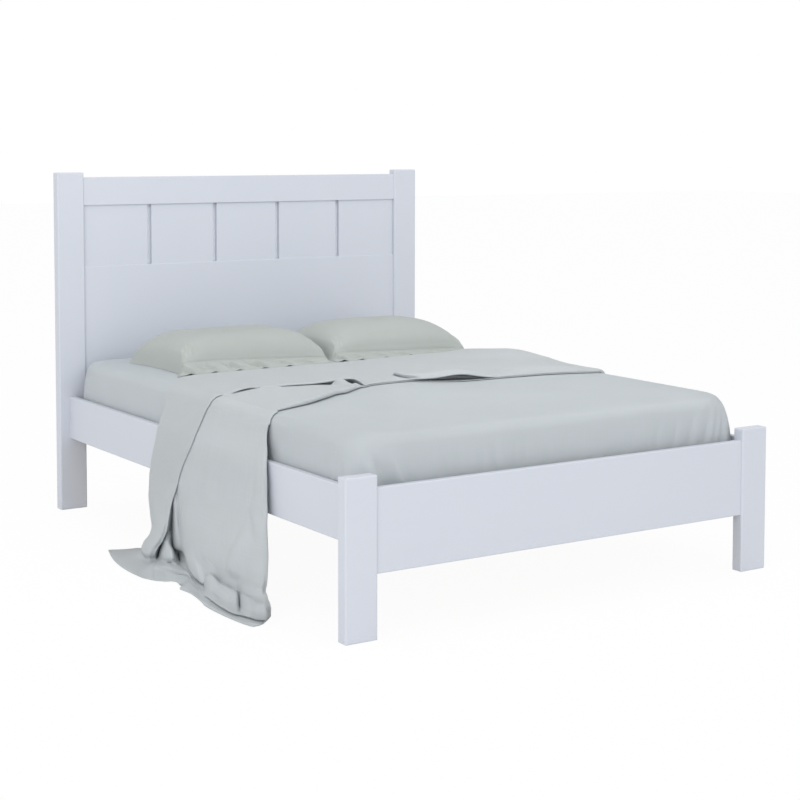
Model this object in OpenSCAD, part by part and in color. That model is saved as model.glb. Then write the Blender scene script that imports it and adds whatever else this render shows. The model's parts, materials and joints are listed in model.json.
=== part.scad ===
// A painted double bed with a boarded headboard, a slatted base, a mattress, two pillows and a throw.
// Millimetres. The origin is on the floor under the centre leg, +X to the right seen from the foot,
// +Y towards the head and +Z up.

/* [Mattress] */
// Width of the mattress
mattress_w = 1380; // [1200:10:1600]
// Length of the mattress
mattress_l = 1880; // [1800:10:2030]
// Height of the mattress at its edge
mattress_h = 190; // [140:5:240]
// Rise of the mattress from its edge to its middle
mattress_crown = 7; // [3:1:14]
// Radius of the mattress's top edge
mattress_edge_r = 30; // [20:2:44]
// Space between the mattress and each side rail
mattress_side_gap = 6; // [5:1:20]
// Space between the mattress and each post, head and foot
mattress_end_gap = 15; // [12:1:40]
// How deep the mattress sits below the top of the rails
mattress_sink = 65; // [40:5:85]

/* [Posts] */
// Width of each post
post_w = 100; // [80:2:120]
// Depth of each post along the bed
post_d = 40; // [36:1:50]
// Height of the head posts
head_post_h = 1200; // [1150:10:1320]
// Height of the foot posts
foot_post_h = 440; // [420:5:520]
// Radius on the edges of the posts
post_edge_r = 5; // [2:0.5:8]

/* [Rails] */
// Height of the top of the side rails and footboard above the floor
rail_top = 405; // [380:5:415]
// Height of each side rail
side_rail_h = 150; // [135:5:170]
// Thickness of the side rails and footboard
rail_t = 22; // [20:1:28]
// Step from the outside of a post back to the side rail
rail_inset = 37; // [30:1:45]
// Height of the footboard
footboard_h = 230; // [200:5:260]
// Step from the face of the foot posts back to the footboard
footboard_inset = 6; // [3:1:10]
// Radius on the long edges of the rails
rail_edge_r = 4; // [2:0.5:6]

/* [Headboard] */
// Height of the headboard's top rail
top_rail_h = 100; // [80:5:130]
// Drop from the top of the posts to the top rail
top_rail_drop = 17; // [8:1:40]
// Thickness of the headboard's top and bottom rails
head_rail_t = 28; // [25:1:30]
// Step from the face of the head posts back to the headboard's rails
head_rail_inset = 5; // [3:1:8]
// Height of the headboard's bottom rail
bottom_rail_h = 120; // [110:5:140]
// Height of the bottom rail's lower edge above the floor
bottom_rail_z = 230; // [225:1:240]
// Number of upright boards
board_count = 5; // [3:1:7]
// Height of the upright boards
board_h = 218; // [150:5:300]
// Gap between the upright boards
board_gap = 15; // [8:1:25]
// Thickness of the upright boards
board_t = 15; // [12:1:16]
// How far the lower panel stands in front of the boards
lower_panel_proud = 3; // [1:0.5:4]
// Thickness of the sheet behind the boards
backing_t = 3; // [2.5:0.5:4]
// Depth of the rebate that the backing sits in
backing_rebate = 6; // [5:0.5:8]
// Height of the backing's edge inside each rebate
backing_lap = 12; // [10:1:16]

/* [Slatted base] */
// Number of slats
slat_count = 12; // [10:1:13]
// Width of each slat
slat_w = 90; // [70:5:95]
// Thickness of each slat
slat_t = 18; // [16:1:22]
// Space between a slat's end and the side rail
slat_end_gap = 4; // [2:1:8]
// Side of the square cleats
cleat_s = 30; // [28:1:36]
// Width of the centre beam
beam_w = 40; // [36:1:50]
// Height of the centre beam
beam_h = 70; // [64:1:74]
// Side of the square centre leg
leg_s = 45; // [42:1:60]
// Diameter of the glide under the centre leg
glide_d = 40; // [30:1:42]
// Height of the glide under the centre leg
glide_h = 8; // [5:1:12]

/* [Fittings] */
// Thickness of the steel plate
plate_t = 3; // [2:0.5:4]
// Height of the corner brackets
bracket_h = 73; // [70:1:76]
// Width of each leg of a corner bracket
bracket_leg = 38; // [36:1:40]
// Diameter of the bolts into the posts
bolt_d = 8; // [6:1:8]
// Length of the bolts into the posts
bolt_l = 30; // [26:1:32]
// Diameter of the threaded inserts
insert_d = 12; // [11:0.5:13]
// Length of the threaded inserts
insert_l = 20; // [16:1:24]
// Diameter of the dowels
dowel_d = 8; // [6:1:10]
// Length of the dowels
dowel_l = 40; // [30:2:50]
// Diameter of the wood screws
screw_d = 4.5; // [4:0.5:5]
// Diameter of the backing's screws
small_screw_d = 3; // [2.5:0.5:3.5]

/* [Bedding] */
// Thickness of the fitted sheet
sheet_t = 1.2; // [0.8:0.1:2]
// How far the fitted sheet tucks under the mattress
sheet_tuck = 100; // [60:10:140]
// Length of a pillow across the bed
pillow_l = 604; // [560:4:612]
// Depth of a pillow with its flange
pillow_d = 436; // [400:4:440]
// Height of a pillow's crown
pillow_h = 122; // [90:2:150]
// Depth of the flange along a pillow's front
flange_d = 52; // [30:2:60]
// Space between the two pillows
pillow_gap = 12; // [8:1:30]
// How far the pillows' meeting line lies to the right of the middle
pillow_meet_x = 19; // [0:1:30]
// Space behind the left pillow, to the head end of the mattress
pillow_left_back = 149; // [100:1:149]
// Space behind the right pillow, to the head end of the mattress
pillow_right_back = 107; // [80:1:107]
// Turn of the left pillow in degrees
pillow_left_turn = 3.6; // [0:0.2:4]
// Turn of the right pillow in degrees
pillow_right_turn = 5.2; // [3.6:0.2:6]
// Thickness of the folded throw where it lies double
throw_t = 8; // [5:0.5:10]
// Reach of the throw on the floor, from the centre of the bed
throw_reach = 872; // [850:2:900]

/* [Hidden] */
$fn = 48;

// Fits: round fasteners in their holes, hole ends, soft pieces and sliding or butted pieces.
hole_clear = 0.05;
hole_end_clear = 0.5;
soft_clear = 0.3;
fill_clear = 0.6;
throw_clear = 1.1;
bracket_to_cleat = 5;
cleat_to_slat = 5;
beam_end_gap = 1;
hanger_clear = 0.5;

// Outer sizes and the planes that the pieces share.
bed_w = mattress_w + 2 * (mattress_side_gap + rail_t + rail_inset);
bed_l = mattress_l + 2 * (mattress_end_gap + post_d);
post_in_x = bed_w / 2 - post_w;
post_in_y = bed_l / 2 - post_d;
rail_out_x = bed_w / 2 - rail_inset;
rail_in_x = rail_out_x - rail_t;
side_rail_z = rail_top - side_rail_h;
footboard_z = rail_top - footboard_h;
footboard_front = -bed_l / 2 + footboard_inset;
footboard_back = footboard_front + rail_t;
head_rail_front = post_in_y + head_rail_inset;
head_rail_back = head_rail_front + head_rail_t;
top_rail_z = head_post_h - top_rail_drop - top_rail_h;
board_z = top_rail_z - board_h;
board_back = head_rail_back - backing_rebate;
board_front = board_back - board_t;
lower_panel_front = board_front - lower_panel_proud;
bottom_rail_top = bottom_rail_z + bottom_rail_h;
board_w = (2 * post_in_x - (board_count - 1) * board_gap) / board_count;
small_edge_r = 2;

// The base: deck height, slats, cleats, beam and leg.
deck_z = rail_top - mattress_sink;
slat_z = deck_z - slat_t;
cleat_z = slat_z - cleat_s;
cleat_end_y = post_in_y - bracket_leg - plate_t - bracket_to_cleat;
slat_first_y = cleat_end_y - cleat_to_slat - slat_w / 2;
slat_pitch = 2 * slat_first_y / (slat_count - 1);
slat_l = 2 * (rail_in_x - slat_end_gap);
beam_z = slat_z - beam_h;
beam_foot_y = footboard_back + beam_end_gap;
beam_head_y = head_rail_front - beam_end_gap;
glide_pin_d = 10;
glide_pin_l = 15;
stud_up = 40;
stud_down = 25;

// Corner brackets: square to the rail and post, bolts in a pair one above the other.
bracket_z = side_rail_z + 7;
bolt_z = [bracket_z + bracket_h / 4, bracket_z + 3 * bracket_h / 4];
bolt_x = rail_in_x - bracket_leg / 2 - plate_t;
rail_screw_y = post_in_y - plate_t - bracket_leg / 2 - 2;
bolt_head_d = 14;
bolt_head_h = 4.5;
rail_screw_d = 5;
rail_screw_l = 15;
rail_screw_head_d = 9;
rail_screw_head_h = 3;
corners = [[-1, -1], [1, -1], [-1, 1], [1, 1]];
corner_names = ["foot_left", "foot_right", "head_left", "head_right"];

// Beam hangers: a steel shoe with a flange on each side.
hanger_l = 50;
hanger_h = 60;
hanger_flange = 26;
hanger_screw_l = 15;
hanger_in = beam_w / 2 + hanger_clear;
hanger_out = hanger_in + plate_t;
hanger_screw_x = hanger_out + hanger_flange / 2;
hanger_screw_z = [beam_z - plate_t + hanger_h / 4, beam_z - plate_t + 3 * hanger_h / 4];

// Wood screws: slats to cleats, cleats to rails, backing to boards and rails.
slat_screw_l = 35;
slat_screw_x = rail_in_x - cleat_s / 2;
cleat_screw_l = cleat_s + 2 * rail_t / 3;
cleat_screw_z = cleat_z + 8;
csk_d = 8;
csk_h = 3;
back_screw_l = 9;
back_head_d = 6;
back_head_h = 1.5;

// Dowels, as [y, z] in each post's inner face.
dowel_edge = 30;
bolt_mid_z = (bolt_z[0] + bolt_z[1]) / 2;
head_rail_mid = (head_rail_front + head_rail_back) / 2 - 1;
lower_panel_mid = (lower_panel_front + board_back) / 2;
footboard_mid = (footboard_front + footboard_back) / 2;
head_dowels = [
    [head_rail_mid, top_rail_z + dowel_edge],
    [head_rail_mid, top_rail_z + top_rail_h - dowel_edge],
    [lower_panel_mid, board_z - 110],
    [lower_panel_mid, bottom_rail_top + 150],
    [head_rail_mid, bolt_mid_z],
    [head_rail_mid, bottom_rail_z + 18]
];
foot_dowels = [
    [footboard_mid, footboard_z + dowel_edge],
    [footboard_mid, bolt_mid_z],
    [footboard_mid, rail_top - 20]
];

// Screws through the backing, as [x, z].
function board_x(i) = -post_in_x + board_w / 2 + i * (board_w + board_gap);
back_rows = [
    top_rail_z + backing_lap / 2,
    top_rail_z - 50,
    board_z + 50,
    board_z - 50,
    (board_z + bottom_rail_top) / 2,
    bottom_rail_top - backing_lap / 2
];
back_screws = [for (i = [0:board_count - 1], z = back_rows) [board_x(i), z]];

// Bedding heights.
sheet_grow = sheet_t + soft_clear;
mattress_z = deck_z + soft_clear + sheet_grow;
mattress_edge_z = mattress_z + mattress_h;
mattress_foot_r = 12;
mattress_corner_r = 60;
crown_run = 60;
crown_insets = [55, 85, 130, 200, 320];
pillow_z = mattress_edge_z + mattress_crown + sheet_grow + soft_clear;

// The throw's edges on the bed as [x, y]: towards the foot, the upper layer's edge and towards the head.
throw_foot_top = [
    [-690, -420], [-515, -400], [-334, -271], [-182, -161], [43, -152], [213, -122], [290, -253],
    [486, -300], [690, -335]
];
throw_layer_top = [[-690, -71], [-590, -46], [-409, -13], [-174, 0], [20, -37], [230, -50], [690, -60]];
throw_head_top = [[-690, 200], [-640, 270], [-540, 325], [0, 336], [300, 350], [690, 362]];
// The same three edges down the side as [z, y].
throw_foot_side = [[0, -690], [94, -652], [279, -586], [405, -525], [500, -430], [540, -420]];
throw_layer_side = [[0, 110], [160, 70], [260, 23], [374, -36], [540, -71]];
throw_head_side = [[0, 363], [60, 300], [160, 205], [300, 185], [500, 180], [540, 200]];
// Depth of the hanging folds at each height.
throw_fold = [[0, 14], [20, 20], [80, 27], [150, 22], [250, 13], [350, 5], [400, 0], [540, 0]];
// How far the cloth stands out from the rail on its way down, as [distance from the rail, z].
throw_fall = [
    [6, 401], [9, 375], [11, 330], [15, 280], [20, 230], [28, 180], [40, 130], [56, 84], [78, 45], [106, 17]
];
throw_double_rows = 6;
throw_rows = 12;
throw_top_step = 54;
throw_right_z = 432;
throw_single_t = throw_t / 2;

board_nodes = [for (i = [1:board_count]) str("headboard_board_", i)];
slat_nodes = [for (i = [1:slat_count]) str("slat_", i)];
bracket_nodes = [for (n = corner_names) str("corner_bracket_", n)];

paint = [0.83, 0.85, 0.89];
pine = [0.86, 0.74, 0.55];
steel = [0.68, 0.69, 0.71];
board_grey = [0.62, 0.63, 0.66];
linen = [0.74, 0.77, 0.76];
ticking = [0.93, 0.92, 0.89];
dark_plastic = [0.2, 0.2, 0.21];

// General shapes.

function lerp(a, b, t) = a + (b - a) * t;

module round_rect(w, h, r) {
    translate([r, 0]) square([w - 2 * r, h]);
    translate([0, r]) square([w, h - 2 * r]);
    for (x = [r, w - r], y = [r, h - r]) translate([x, y]) circle(r);
}

// A block with every edge rounded.
module round_block(size, r) {
    intersection() {
        linear_extrude(size[2]) round_rect(size[0], size[1], r);
        translate([0, size[1], 0]) rotate([90, 0, 0]) linear_extrude(size[1]) round_rect(size[0], size[2], r);
        rotate([90, 0, 90]) linear_extrude(size[0]) round_rect(size[1], size[2], r);
    }
}

// A bar along X whose four long edges are rounded.
module bar_x(l, d, h, r) {
    translate([-l / 2, 0, 0]) rotate([90, 0, 90]) linear_extrude(l) round_rect(d, h, r);
}

// A bar along Y whose four long edges are rounded.
module bar_y(l, w, h, r) {
    translate([0, l / 2, 0]) rotate([90, 0, 0]) linear_extrude(l) round_rect(w, h, r);
}

// A countersunk screw pointing down from z = 0; grow opens it into its own hole.
module wood_screw(d, l, head_d, head_h, grow = 0) {
    translate([0, 0, -head_h - grow]) cylinder(d = head_d + 2 * grow, h = head_h + 2 * grow);
    translate([0, 0, -l - (grow > 0 ? hole_end_clear : 0)])
        cylinder(d = d + 2 * grow, h = l + (grow > 0 ? hole_end_clear : 0) - head_h / 2);
}

// A pan or button head standing on z = 0 with its shank pointing down.
module headed(d, l, head_d, head_h) {
    cylinder(d = head_d, h = head_h);
    translate([0, 0, -l]) cylinder(d = d, h = l + head_h / 2);
}

module shank_hole(d, l) {
    translate([0, 0, -l - hole_end_clear]) cylinder(d = d + 2 * hole_clear, h = l + hole_end_clear + 1);
}

// Closes a list of rings of equal, even length into a solid, from the first ring to the last.
// The end rings are closed by a strip between their first and second halves. Each four-sided patch is
// split along one diagonal, or along the other one if other is true.
module ring_loft(rings, other = false) {
    n = len(rings[0]);
    last = (len(rings) - 1) * n;
    polyhedron(
        points = [for (r = rings) each r],
        faces = concat(
            [for (k = [0:n / 2 - 2]) each [[k, k + 1, n - 2 - k], [k, n - 2 - k, n - 1 - k]]],
            [for (i = [0:len(rings) - 2], k = [0:n - 1]) let (a = i * n, b = a + n, j = (k + 1) % n)
                each other
                    ? [[a + k, b + k, a + j], [b + k, b + j, a + j]]
                    : [[a + k, b + k, b + j], [a + k, b + j, a + j]]],
            [for (k = [0:n / 2 - 2])
                each [[last + k, last + n - 2 - k, last + k + 1], [last + k, last + n - 1 - k, last + n - 2 - k]]]
        )
    );
}

// Joints between posts and rails.

module dowel_set(places, x, grow) {
    l = dowel_l + 2 * (grow > 0 ? hole_end_clear : 0);
    for (p = places, s = [-1, 1])
        translate([s * x, p[0], p[1]]) rotate([0, 90, 0]) cylinder(d = dowel_d + 2 * grow, h = l, center = true);
}

// Puts its children at the two bolts of a corner, with +Z pointing out of the post's face.
module at_post_bolts(c) {
    for (z = bolt_z)
        translate([c[0] * bolt_x, c[1] * post_in_y, z]) rotate([c[1] * 90, 0, 0]) children();
}

// Puts its children at the two rail screws of a corner, with +Z pointing inwards from the rail.
module at_rail_screws(c) {
    for (z = bolt_z)
        translate([c[0] * rail_in_x, c[1] * rail_screw_y, z]) rotate([0, -c[0] * 90, 0]) children();
}

module post_holes(c) {
    at_post_bolts(c) {
        shank_hole(insert_d, insert_l - hole_end_clear);
        shank_hole(bolt_d, bolt_l - plate_t);
    }
}

module head_post(s) {
    color(paint) difference() {
        translate([s < 0 ? -bed_w / 2 : post_in_x, post_in_y, 0]) round_block([post_w, post_d, head_post_h], post_edge_r);
        dowel_set(head_dowels, post_in_x, hole_clear);
        post_holes([s, 1]);
    }
}

module foot_post(s) {
    color(paint) difference() {
        translate([s < 0 ? -bed_w / 2 : post_in_x, -bed_l / 2, 0]) round_block([post_w, post_d, foot_post_h], post_edge_r);
        dowel_set(foot_dowels, post_in_x, hole_clear);
        post_holes([s, -1]);
    }
}

// Headboard.

// Puts its children at every backing screw, with +Z pointing out of the back.
module at_back_screws() {
    for (p = back_screws) translate([p[0], board_back + backing_t, p[1]]) rotate([-90, 0, 0]) children();
}

module back_screw_holes() {
    at_back_screws() shank_hole(small_screw_d, back_screw_l + backing_t);
}

module head_rail(z, h, rebate_z) {
    color(paint) difference() {
        translate([0, head_rail_front, z]) bar_x(2 * post_in_x, head_rail_t, h, small_edge_r);
        translate([-post_in_x - 1, board_back, rebate_z]) cube([2 * post_in_x + 2, backing_rebate + 1, backing_lap]);
        dowel_set(head_dowels, post_in_x, hole_clear);
        back_screw_holes();
        if (z == bottom_rail_z) hanger_screw_holes(1);
    }
}

module headboard_top_rail() {
    head_rail(top_rail_z, top_rail_h, top_rail_z);
}

module headboard_bottom_rail() {
    head_rail(bottom_rail_z, bottom_rail_h, bottom_rail_top - backing_lap);
}

module headboard_lower_panel() {
    color(paint) difference() {
        translate([0, lower_panel_front, bottom_rail_top])
            bar_x(2 * post_in_x, board_t + lower_panel_proud, board_z - bottom_rail_top, small_edge_r);
        dowel_set(head_dowels, post_in_x, hole_clear);
        back_screw_holes();
    }
}

module headboard_board(i) {
    color(paint) difference() {
        translate([board_x(i) - board_w / 2, board_front, board_z])
            linear_extrude(board_h) round_rect(board_w, board_t, small_edge_r);
        back_screw_holes();
    }
}

module headboard_backing() {
    color(board_grey) difference() {
        translate([-post_in_x, board_back, bottom_rail_top - backing_lap])
            cube([2 * post_in_x, backing_t, top_rail_z - bottom_rail_top + 2 * backing_lap]);
        back_screw_holes();
    }
}

module backing_screws() {
    color(steel) at_back_screws() headed(small_screw_d, back_screw_l + backing_t, back_head_d, back_head_h);
}

// Footboard and side rails.

module footboard() {
    color(paint) difference() {
        translate([0, footboard_front, footboard_z]) bar_x(2 * post_in_x, rail_t, footboard_h, rail_edge_r);
        dowel_set(foot_dowels, post_in_x, hole_clear);
        hanger_screw_holes(-1);
    }
}

module side_rail(s) {
    color(paint) difference() {
        translate([s < 0 ? -rail_out_x : rail_in_x, 0, side_rail_z])
            bar_y(2 * post_in_y, rail_t, side_rail_h, rail_edge_r);
        for (e = [-1, 1]) at_rail_screws([s, e]) shank_hole(rail_screw_d, rail_screw_l);
        at_cleat_screws(s) cleat_screw(hole_clear);
    }
}

// Slatted base.

function slat_y(i) = -slat_first_y + i * slat_pitch;

// Puts its children at the screws of one cleat, in every second gap between slats, +Z pointing inwards.
module at_cleat_screws(s) {
    for (i = [0:2:slat_count - 2])
        translate([s * (rail_in_x - cleat_s), slat_y(i) + slat_pitch / 2, cleat_screw_z])
            rotate([0, -s * 90, 0]) children();
}

module cleat_screw(grow = 0) {
    wood_screw(screw_d, cleat_screw_l, csk_d, csk_h, grow);
}

module cleat(s) {
    color(pine) difference() {
        translate([s < 0 ? -rail_in_x : rail_in_x - cleat_s, 0, cleat_z])
            bar_y(2 * cleat_end_y, cleat_s, cleat_s, small_edge_r);
        at_cleat_screws(s) cleat_screw(hole_clear);
        for (i = [0:slat_count - 1]) translate([s * slat_screw_x, slat_y(i), deck_z]) slat_screw(hole_clear);
    }
}

module slat_screw(grow = 0) {
    wood_screw(screw_d, slat_screw_l, csk_d, csk_h, grow);
}

module slat(i) {
    color(pine) difference() {
        translate([0, slat_y(i) - slat_w / 2, slat_z]) bar_x(slat_l, slat_w, slat_t, small_edge_r);
        for (s = [-1, 1]) translate([s * slat_screw_x, slat_y(i), deck_z]) slat_screw(hole_clear);
    }
}

module slat_screws() {
    color(steel) for (i = [0:slat_count - 1], s = [-1, 1])
        translate([s * slat_screw_x, slat_y(i), deck_z]) slat_screw();
}

module cleat_screws() {
    color(steel) for (s = [-1, 1]) at_cleat_screws(s) cleat_screw();
}

module leg_stud(grow = 0) {
    l = stud_up + stud_down + 2 * (grow > 0 ? hole_end_clear : 0);
    color(steel) translate([0, 0, beam_z - stud_down - (grow > 0 ? hole_end_clear : 0)])
        cylinder(d = bolt_d + 2 * grow, h = l);
}

module centre_beam() {
    color(pine) difference() {
        translate([-beam_w / 2, (beam_foot_y + beam_head_y) / 2, beam_z])
            bar_y(beam_head_y - beam_foot_y, beam_w, beam_h, small_edge_r);
        leg_stud(hole_clear);
    }
}

module centre_leg() {
    color(pine) difference() {
        translate([-leg_s / 2, -leg_s / 2, glide_h]) linear_extrude(beam_z - glide_h) round_rect(leg_s, leg_s, rail_edge_r);
        leg_stud(hole_clear);
        translate([0, 0, glide_h - 1]) cylinder(d = glide_pin_d + 2 * hole_clear, h = glide_pin_l + 1 + hole_end_clear);
    }
}

module leg_glide() {
    color(dark_plastic) {
        cylinder(d = glide_d, h = glide_h);
        translate([0, 0, glide_h / 2]) cylinder(d = glide_pin_d, h = glide_pin_l + glide_h / 2);
    }
}

// Steel fittings.

module corner_bracket(c) {
    rail_leg = bracket_leg + plate_t;
    color(steel) difference() {
        mirror([c[0] > 0 ? 1 : 0, 0, 0]) mirror([0, c[1] > 0 ? 1 : 0, 0]) translate([-rail_in_x, -post_in_y, bracket_z]) {
            cube([plate_t, rail_leg, bracket_h]);
            cube([rail_leg, plate_t, bracket_h]);
        }
        at_post_bolts(c) translate([0, 0, -plate_t]) cylinder(d = bolt_d + 1, h = 3 * plate_t);
        at_rail_screws(c) translate([0, 0, -plate_t]) cylinder(d = rail_screw_d + 0.5, h = 3 * plate_t);
    }
}

module post_bolts() {
    color(steel) for (c = corners) at_post_bolts(c)
        translate([0, 0, plate_t]) headed(bolt_d, bolt_l, bolt_head_d, bolt_head_h);
}

module post_inserts() {
    color(steel) for (c = corners) at_post_bolts(c) translate([0, 0, -insert_l]) difference() {
        cylinder(d = insert_d, h = insert_l);
        translate([0, 0, -1]) cylinder(d = bolt_d + 2 * hole_clear, h = insert_l + 2);
    }
}

module rail_screws() {
    color(steel) for (c = corners) at_rail_screws(c)
        translate([0, 0, plate_t]) headed(rail_screw_d, rail_screw_l + plate_t, rail_screw_head_d, rail_screw_head_h);
}

// The plane that a hanger's flanges lie on at each end of the beam.
function hanger_y(e) = e < 0 ? footboard_back : head_rail_front;

module at_hanger_screws(e) {
    for (s = [-1, 1], z = hanger_screw_z)
        translate([s * hanger_screw_x, hanger_y(e), z]) rotate([e * 90, 0, 0]) children();
}

module hanger_screw_holes(e) {
    at_hanger_screws(e) shank_hole(screw_d, hanger_screw_l);
}

module beam_hanger(e) {
    color(steel) difference() {
        mirror([0, e > 0 ? 1 : 0, 0]) translate([0, e < 0 ? hanger_y(e) : -hanger_y(e), beam_z - plate_t]) {
            translate([-hanger_out, 0, 0]) cube([2 * hanger_out, hanger_l, plate_t]);
            for (s = [-1, 1]) translate([s < 0 ? -hanger_out : hanger_in, 0, 0]) cube([plate_t, hanger_l, hanger_h]);
            for (s = [-1, 1]) translate([s < 0 ? -hanger_out - hanger_flange : hanger_in, 0, 0])
                cube([hanger_flange + plate_t, plate_t, hanger_h]);
        }
        at_hanger_screws(e) translate([0, 0, -plate_t]) cylinder(d = screw_d + 0.5, h = 3 * plate_t);
    }
}

module hanger_screws() {
    color(steel) for (e = [-1, 1]) at_hanger_screws(e)
        translate([0, 0, plate_t]) headed(screw_d, hanger_screw_l + plate_t, csk_d, csk_h);
}

module dowels() {
    color(pine) {
        dowel_set(head_dowels, post_in_x, 0);
        dowel_set(foot_dowels, post_in_x, 0);
    }
}

// Mattress and fitted sheet.

// Height of the crowned top above its edge, at a distance in from the edge.
function crown_rise(inset) = mattress_crown * (1 - exp(-max(inset - mattress_edge_r, 0) / crown_run));

// One level ring of the mattress, drawn in by inset from its sides.
function pad_ring(inset, z) =
    let (a = mattress_w / 2 - inset, b = mattress_l / 2 - inset, r = max(mattress_corner_r - inset, 5))
    [for (q = [0:3], k = [0:3]) let (t = 90 * q + 30 * k, sx = q == 0 || q == 3 ? 1 : -1, sy = q < 2 ? 1 : -1)
        [sx * (a - r) + r * cos(t), sy * (b - r) + r * sin(t), z]];

// The rings from the bottom up to the middle of the top, grown outwards by g.
function pad_rings(g) = concat(
    [pad_ring(sheet_tuck, mattress_z - g)],
    [for (t = [0:30:90]) pad_ring(
        mattress_foot_r - (mattress_foot_r + g) * sin(t),
        mattress_z + mattress_foot_r - (mattress_foot_r + g) * cos(t))],
    [for (t = [0:18:90]) pad_ring(
        mattress_edge_r - (mattress_edge_r + g) * cos(t),
        mattress_edge_z - mattress_edge_r + (mattress_edge_r + g) * sin(t))],
    [for (d = crown_insets) pad_ring(d, mattress_edge_z + g + crown_rise(d))]
);

module mattress() {
    color(ticking) ring_loft(pad_rings(0));
}

module fitted_sheet() {
    outer = pad_rings(sheet_grow);
    inner = pad_rings(soft_clear);
    n = len(outer);
    color(linen) ring_loft(concat([for (i = [n - 1:-1:0]) inner[i]], outer));
}

// Pillows.

pillow_top_v = [-1, -0.94, -0.8, -0.5, -0.1, 0.35, 0.7, 0.92, 1];
pillow_low_v = [0.92, 0.7, 0.35, -0.1, -0.5, -0.8, -0.94];
pillow_pull = 0.05;
pillow_seam_z = 30;
pillow_seam_t = 4;
pillow_belly = 60;
pillow_body_d = pillow_d - flange_d;
flange_t = 3;
flange_waves = 5;
flange_wave_h = 5;

// Fullness at u along the pillow and v across it, each from -1 to 1.
function fullness(u, v) = pow(max((1 - pow(abs(u), 3)) * (1 - pow(abs(v), 3)), 0), 0.5);

// Height of the seam all round, lower at the corners.
function seam_z(u, v) = pillow_seam_z - 18 * pow(abs(u * v), 2);

function pillow_point(u, v, side, g) =
    let (
        f = fullness(u, v),
        s = seam_z(u, v),
        half = v == 1 ? 0 : pillow_seam_t / 2 + g,
        up = s + half + (pillow_h - pillow_seam_z - pillow_seam_t / 2) * f,
        down = max(s - half - pillow_belly * f, -g))
    [
        u * (pillow_l / 2 + g) * (1 - pillow_pull * (1 - v * v)),
        flange_d / 2 + v * (pillow_body_d / 2 + g) * (1 - pillow_pull * (1 - u * u)),
        side > 0 ? up : down
    ];

// A point of the flange, at a share k of its depth in front of the seam.
function flange_point(u, k, side) =
    let (
        base = pillow_point(u, -1, 1, 0),
        wave = flange_wave_h * k * sin(flange_waves * 180 * u),
        z = (pillow_seam_z - 18 * u * u) * (1 - k) + (9 + wave) * k)
    [base[0], base[1] - flange_d * k, z + side * flange_t / 2];

function case_ring(u) = concat(
    [for (k = [1, 0.5]) flange_point(u, k, 1)],
    [for (v = pillow_top_v) pillow_point(u, v, 1, 0)],
    [for (v = pillow_low_v) pillow_point(u, v, -1, 0)],
    [for (k = [0.5, 1]) flange_point(u, k, -1)]
);

// A ring inside the case, with as many points as a ring of the case and on the same chords.
function fill_ring(u, g) =
    let (
        seam = [for (side = [1, -1]) pillow_point(u, -1, side, g)],
        next = [for (side = [1, -1]) pillow_point(u, -0.94, side, g)])
    concat(
        [for (t = [0, 1 / 3, 2 / 3]) lerp(seam[0], next[0], t)],
        [for (i = [1:len(pillow_top_v) - 1]) pillow_point(u, pillow_top_v[i], 1, g)],
        [for (v = pillow_low_v) pillow_point(u, v, -1, g)],
        [for (t = [1 / 2, 0]) lerp(seam[1], next[1], t)]
    );

// Stations along the pillow, closer together at its ends.
case_steps = 28;
function case_u(i) = sin(-90 + 180 * i / case_steps);

module pillow_case() {
    outside = [for (i = [case_steps:-1:0]) case_ring(case_u(i))];
    inside = [for (i = [2:2:case_steps]) fill_ring(case_u(i), -sheet_t)];
    color(linen) ring_loft(concat(inside, outside));
}

// The filling's rings run the other way along the pillow, so the other diagonal matches the case's inside.
module pillow_insert() {
    rings = [for (i = [case_steps - 2:-2:2]) fill_ring(case_u(i), -sheet_t - fill_clear)];
    color(ticking) ring_loft(rings, true);
}

// Lays a pillow on its side of the meeting line, with its back a given space from the mattress's end.
module pillow_place(s, back, turn) {
    x = pillow_meet_x + s * (pillow_gap + pillow_l) / 2;
    translate([x, (mattress_l - pillow_d) / 2 - back, pillow_z]) rotate([0, 0, turn]) children();
}

module pillow_left_place() {
    pillow_place(-1, pillow_left_back, pillow_left_turn) children();
}

module pillow_right_place() {
    pillow_place(1, pillow_right_back, pillow_right_turn) children();
}

// Throw.

function pad_top(x, y) =
    let (d = min(mattress_w / 2 - abs(x), mattress_l / 2 - abs(y)))
    mattress_edge_z + sheet_grow + crown_rise(d) + throw_clear;

edge_reach = mattress_edge_r + sheet_grow + throw_clear;
edge_x = mattress_w / 2 - mattress_edge_r;
edge_z = mattress_edge_z - mattress_edge_r;
top_steps = round(2 * edge_x / throw_top_step);

// The throw's path across the bed as [x, z] of its underside, from its right hem over the top to the floor.
throw_path = concat(
    [[edge_x + edge_reach, throw_right_z], [edge_x + edge_reach, (throw_right_z + edge_z) / 2]],
    [for (t = [0:25:75]) [edge_x + edge_reach * cos(t), edge_z + edge_reach * sin(t)]],
    [for (i = [0:top_steps]) [edge_x - 2 * edge_x * i / top_steps, undef]],
    [for (t = [105:25:180]) [-edge_x + edge_reach * cos(t), edge_z + edge_reach * sin(t)]],
    [[-edge_x - edge_reach, edge_z - 40], [-rail_in_x - 3, rail_top + 28], [-rail_out_x + 5, rail_top + 8]],
    [for (p = throw_fall) [-rail_out_x - p[0], p[1] + rail_top - 405]],
    [[-throw_reach + 22, 4], [-throw_reach, 1]]
);
throw_fall_start = len(throw_path) - len(throw_fall) - 5;

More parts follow.
